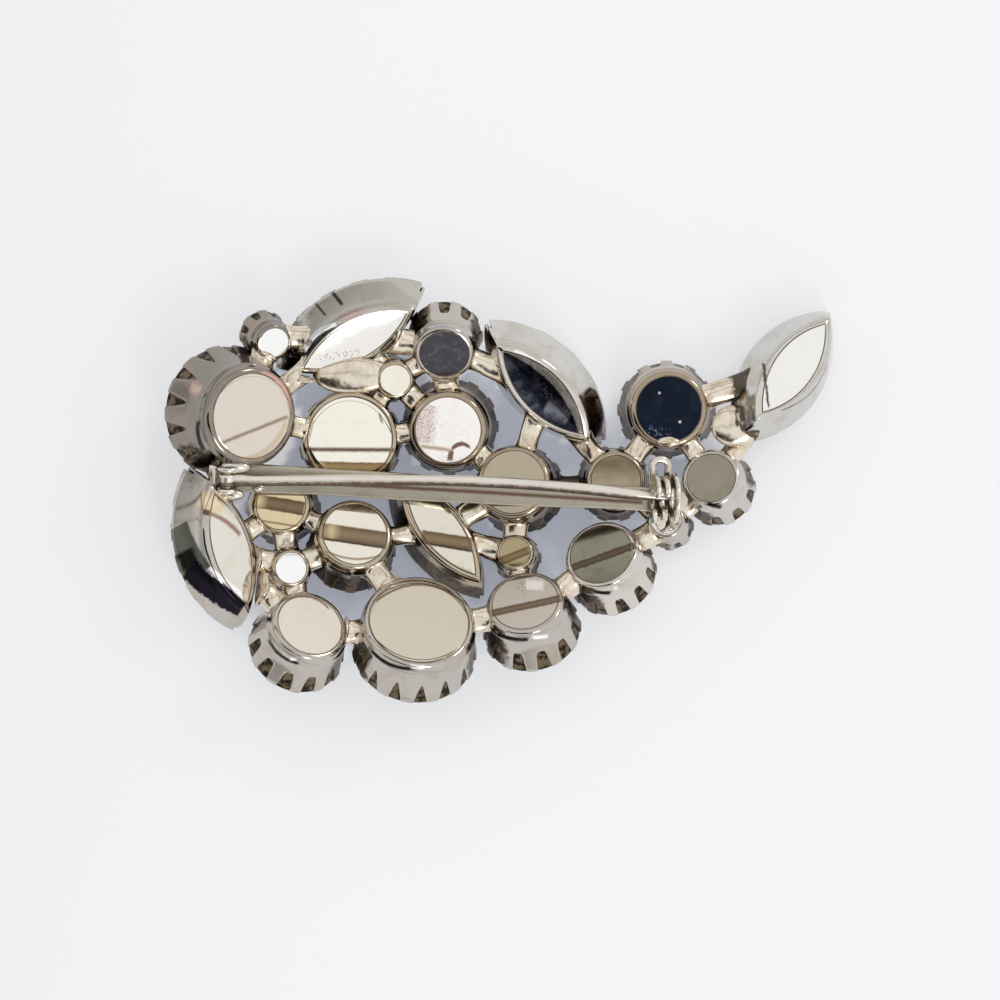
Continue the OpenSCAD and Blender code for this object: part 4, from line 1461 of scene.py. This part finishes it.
    def roller(self, material: bpy.types.Material) -> bpy.types.Object:
        """The catch's turning part: a thick open ring with a thumb tab."""
        ring = self.arc(-self.roller_half, self.roller_half, self.catch_bore, self.roller_radius, 62, 348)
        a = math.radians(self.tab_angle)
        out = np.array([0, -math.sin(a), math.cos(a)])
        s = np.linspace(1.9, 3.4, 8)
        path = out * s[:, None]
        end = np.clip((3.45 - s) / 0.4, 0.3, 1) ** 0.5
        tab = carried(path, X, np.cross(X, out), oval(0.48, 0.28, 3, 16), end)
        placed = self.at_catch(Skin.joined([ring, tab]))
        return placed.piece("roller", [material], "catch", stands_for="catch_roller", smooth_below=50)

    def build(self, finishes: dict[str, bpy.types.Material]) -> list[bpy.types.Object]:
        """Builds all the pieces in order."""
        return [
            self.bar(finishes["bar"]),
            self.ears(finishes["fittings"]),
            self.rivet(finishes["bar"]),
            self.stem(finishes["steel"]),
            self.housing(finishes["fittings"]),
            self.roller(finishes["fittings"]),
        ]


# Studio


@dataclass
class Studio:
    """Pale floor, soft light and the camera of the photograph.

    The picture's middle is in its pixels. The floor's mesh is fine round the brooch: half size and number
    of lines, in x and in y.
    """

    mm_per_pixel: float = 0.095
    pixels: int = 1000
    sensor: float = 36.0
    distance: float = 450.0
    middle: tuple[float, float] = (4.5, -12.5)
    floor_reach: float = 1500.0
    floor_fine: tuple[tuple[float, int], ...] = ((38.0, 115), (26.0, 79))
    strength: float = 0.95
    zenith: Colour = (1.0, 1.0, 0.99)
    low_left: Colour = (0.50, 0.50, 0.49)
    low_right: Colour = (0.90, 0.89, 0.87)
    patches: tuple[tuple[float, float, float, float, Colour], ...] = (
        (-0.80, -0.13, -40.0, -9.0, (0.02, 0.018, 0.02)),
        (-0.13, 0.10, -47.0, -24.0, (0.05, 0.035, 0.03)),
        (-2.0, 2.0, 6.0, 9.0, (0.16, 0.11, 0.07)),
        (-2.0, 2.0, 43.0, 49.0, (0.16, 0.11, 0.07)),
    )

    def camera(self) -> None:
        """Sets the camera above the brooch, its picture's middle at the photograph's."""
        back = np.array([0, -math.cos(ELEVATION), math.sin(ELEVATION)])
        target = (RIGHT * self.middle[0] + UPWARD * self.middle[1]) * self.mm_per_pixel - ORIGIN
        data = bpy.data.cameras.new("camera")
        data.sensor_width = self.sensor
        data.lens = self.sensor * self.distance / (self.pixels * self.mm_per_pixel)
        data.clip_start, data.clip_end = 0.01, 10.0
        cam = in_scene("camera", data)
        cam.location = Vector((target + back * self.distance) * MM)
        cam.rotation_euler = Vector(back).to_track_quat("Z", "Y").to_euler()
        bpy.context.scene.camera = cam

    def floor(self, enclosed: Any) -> None:
        """A wide plain floor, a shade off white, that glows as painted light, lighter to the right as a painted
        light falloff, and dimmer and bluer where the cups close it in as a painted shadow.

        Args:
            enclosed: Function from points on the floor to how closed in they are, from 0 to 1.
        """
        far = self.floor_reach
        x, y = (np.concatenate([[-far], np.linspace(-w, w, n), [far]]) for w, n in self.floor_fine)
        row = len(y)
        across, along = (v.ravel() for v in np.meshgrid(x, y, indexing="ij"))
        points = np.stack([across, along, np.zeros(len(x) * row)], 1)
        cell = (np.arange(len(x) - 1)[:, None] * row + np.arange(row - 1)[None, :]).ravel()
        mesh = bpy.data.meshes.new("floor")
        quads = np.stack([cell, cell + row, cell + row + 1, cell + 1], 1)
        mesh.from_pydata((points * MM).tolist(), [], quads.tolist())
        shade = ramp(enclosed(points + ORIGIN), 0.7, 0.25)
        store_shade_and_dirt(mesh, shade)
        obj = in_scene("floor", mesh)
        g = Graph(bpy.data.materials.new("floor_paper"))
        # Painted light falloff: the floor's colour is darker to the left
        falloff_lighter_rightward = g.along(RIGHT, np.zeros(3)).over(-60.0, -5.0)
        shift = g.noise(60.0, 2.0) * 0.3 + falloff_lighter_rightward * 0.7
        colour = g.blend(shift, (0.385, 0.39, 0.40), (0.45, 0.45, 0.455))
        # Painted shadow: dimmer and bluer where the cups close the floor in
        painted_shadow = g.shade_and_dirt()
        colour = g.blend(painted_shadow, colour, (0.46, 0.48, 0.53))
        # Painted glow: the floor gives off light, which lifts the shadows round the brooch, less of it in the
        # painted shadow
        painted_glow = g.blend(painted_shadow, (0.50, 0.505, 0.52), (0.235, 0.25, 0.29))
        fixed = {"Roughness": 0.9, "Emission Strength": 1.0}
        mesh.materials.append(g.finish(fixed, {"Base Color": colour, "Emission Color": painted_glow}))

    def sky(self) -> None:
        """A white tent, dimmer low down and to the left, with dark patches and seams that the metal mirrors.

        A patch is a soft-edged box in x of the direction and in the angle of y over z, in degrees.
        """
        world = bpy.data.worlds.new("tent")
        bpy.context.scene.world = world
        g = Graph(world)
        toward = g.node("ShaderNodeTexCoord", {}, (), 0)
        x, y, z = (g.node("ShaderNodeSeparateXYZ", {}, [toward], k) for k in range(3))
        angle = g.node("ShaderNodeMath", {"operation": "ARCTAN2"}, [y, z]) * (180 / math.pi)
        colour = g.blend(x.over(-0.6, 0.6), self.low_left, self.low_right)
        colour = g.blend(z.over(0.05, 0.5), colour, self.zenith)
        for x0, x1, a0, a1, dark in self.patches:
            share = x.over(x0 - 0.03, x0 + 0.03) * (1.0 - x.over(x1 - 0.03, x1 + 0.03))
            share = share * angle.over(a0 - 1.0, a0 + 1.0) * (1.0 - angle.over(a1 - 1.0, a1 + 1.0))
            colour = g.blend(share, colour, dark)
        light = world.node_tree.nodes["Background"]
        g.put(light.inputs["Color"], colour)
        light.inputs["Strength"].default_value = self.strength

    def lamp(self, name: str, place: tuple[float, float, float], size: float, watts: float) -> None:
        """A square soft light that looks at the brooch."""
        data = bpy.data.lights.new(name, "AREA")
        data.shape, data.size, data.energy = "SQUARE", size, watts
        obj = in_scene(name, data)
        obj.location = place
        obj.rotation_euler = Vector(place).to_track_quat("Z", "Y").to_euler()

    def build(self, enclosed: Any) -> None:
        """Builds camera, floor and lights."""
        bpy.context.scene.view_settings.view_transform = "Standard"
        self.camera()
        self.floor(enclosed)
        self.sky()
        self.lamp("front_softbox", (0.25, -0.55, 0.6), size=0.2, watts=0.95)
        self.lamp("side_softbox", (0.55, 0.45, 0.5), size=0.15, watts=0.6)


# The pin's painted shadow on the bar, measured from the point that the photograph was fitted to
PIN_SHADOW_ON_BAR = Mark((-20.0, 0.55), (13.9, -1.45), 0.34, (0.20, 0.13, 0.09), bow=0.1, soft=0.12)


def dress_stones(cups: Iterable[Cup], material: bpy.types.Material) -> None:
    """Gives each stone's CAD node the crystal finish."""
    for cup in cups:
        obj = bpy.data.objects[cup.name]
        obj.data.materials.clear()
        obj.data.materials.append(material)
        LOG.info("%s: crystal", cup.name)


def main() -> None:
    """Builds the studio, the finishes, the cups, the solder and the pin, in that order."""
    logging.basicConfig(level=logging.INFO, format="%(message)s")
    cups = cluster()
    crevices = Crevices(tuple(cups))
    Studio().build(crevices.enclosed)
    finishes = {
        # The cups' insides and their linings are dark brown to black, partly their own unplated metal, partly
        # painted shade inside the cups
        "inside": CupInside().material(),
        "lining": CupInside("cup_lining", (0.19, 0.14, 0.09), (0.02, 0.015, 0.011), 0.8).material(),
        "groove": Plating(
            "cup_groove", (0.19, 0.14, 0.10), warm=(0.50, 0.42, 0.33), warm_share=0.9, gloss=0.3
        ).material(),
        "bar": Plating(
            "plated_bar", (0.53, 0.49, 0.40), warm=(0.38, 0.33, 0.25), gloss=0.32, dents=0.004, marks=(PIN_SHADOW_ON_BAR,)
        ).material(),
        "fittings": Plating("plated_fittings", (0.78, 0.73, 0.66), gloss=0.2).material(),
        "steel": Plating(
            "pin_wire", (0.84, 0.79, 0.72), warm=(0.70, 0.58, 0.48), warm_share=0.2, gloss=0.3, dents=0.002,
            brown=(0.20, 0.13, 0.10), shade_and_soot=(0.12, 0.08, 0.06),
        ).material(),
    }
    for index, (cup, look) in enumerate(zip(cups, LOOKS)):
        cup.build(look, finishes, index + 1, partial(crevices.by_wall, index))
    # The linings close the slots with a dark band: painted shade, blackest where the cups close each other in
    linings = Skin.joined([cup.lining() for cup in cups if cup.is_round])
    linings.piece("cup_linings", [finishes["lining"]], shade_and_dirt=crevices.shut_in)
    dress_stones(cups, SmokyCrystal().material())
    SolderWork().build(cups, Solder().material(), crevices.on_solder)
    PinBack().build(finishes)


if __name__ == "__main__":
    main()
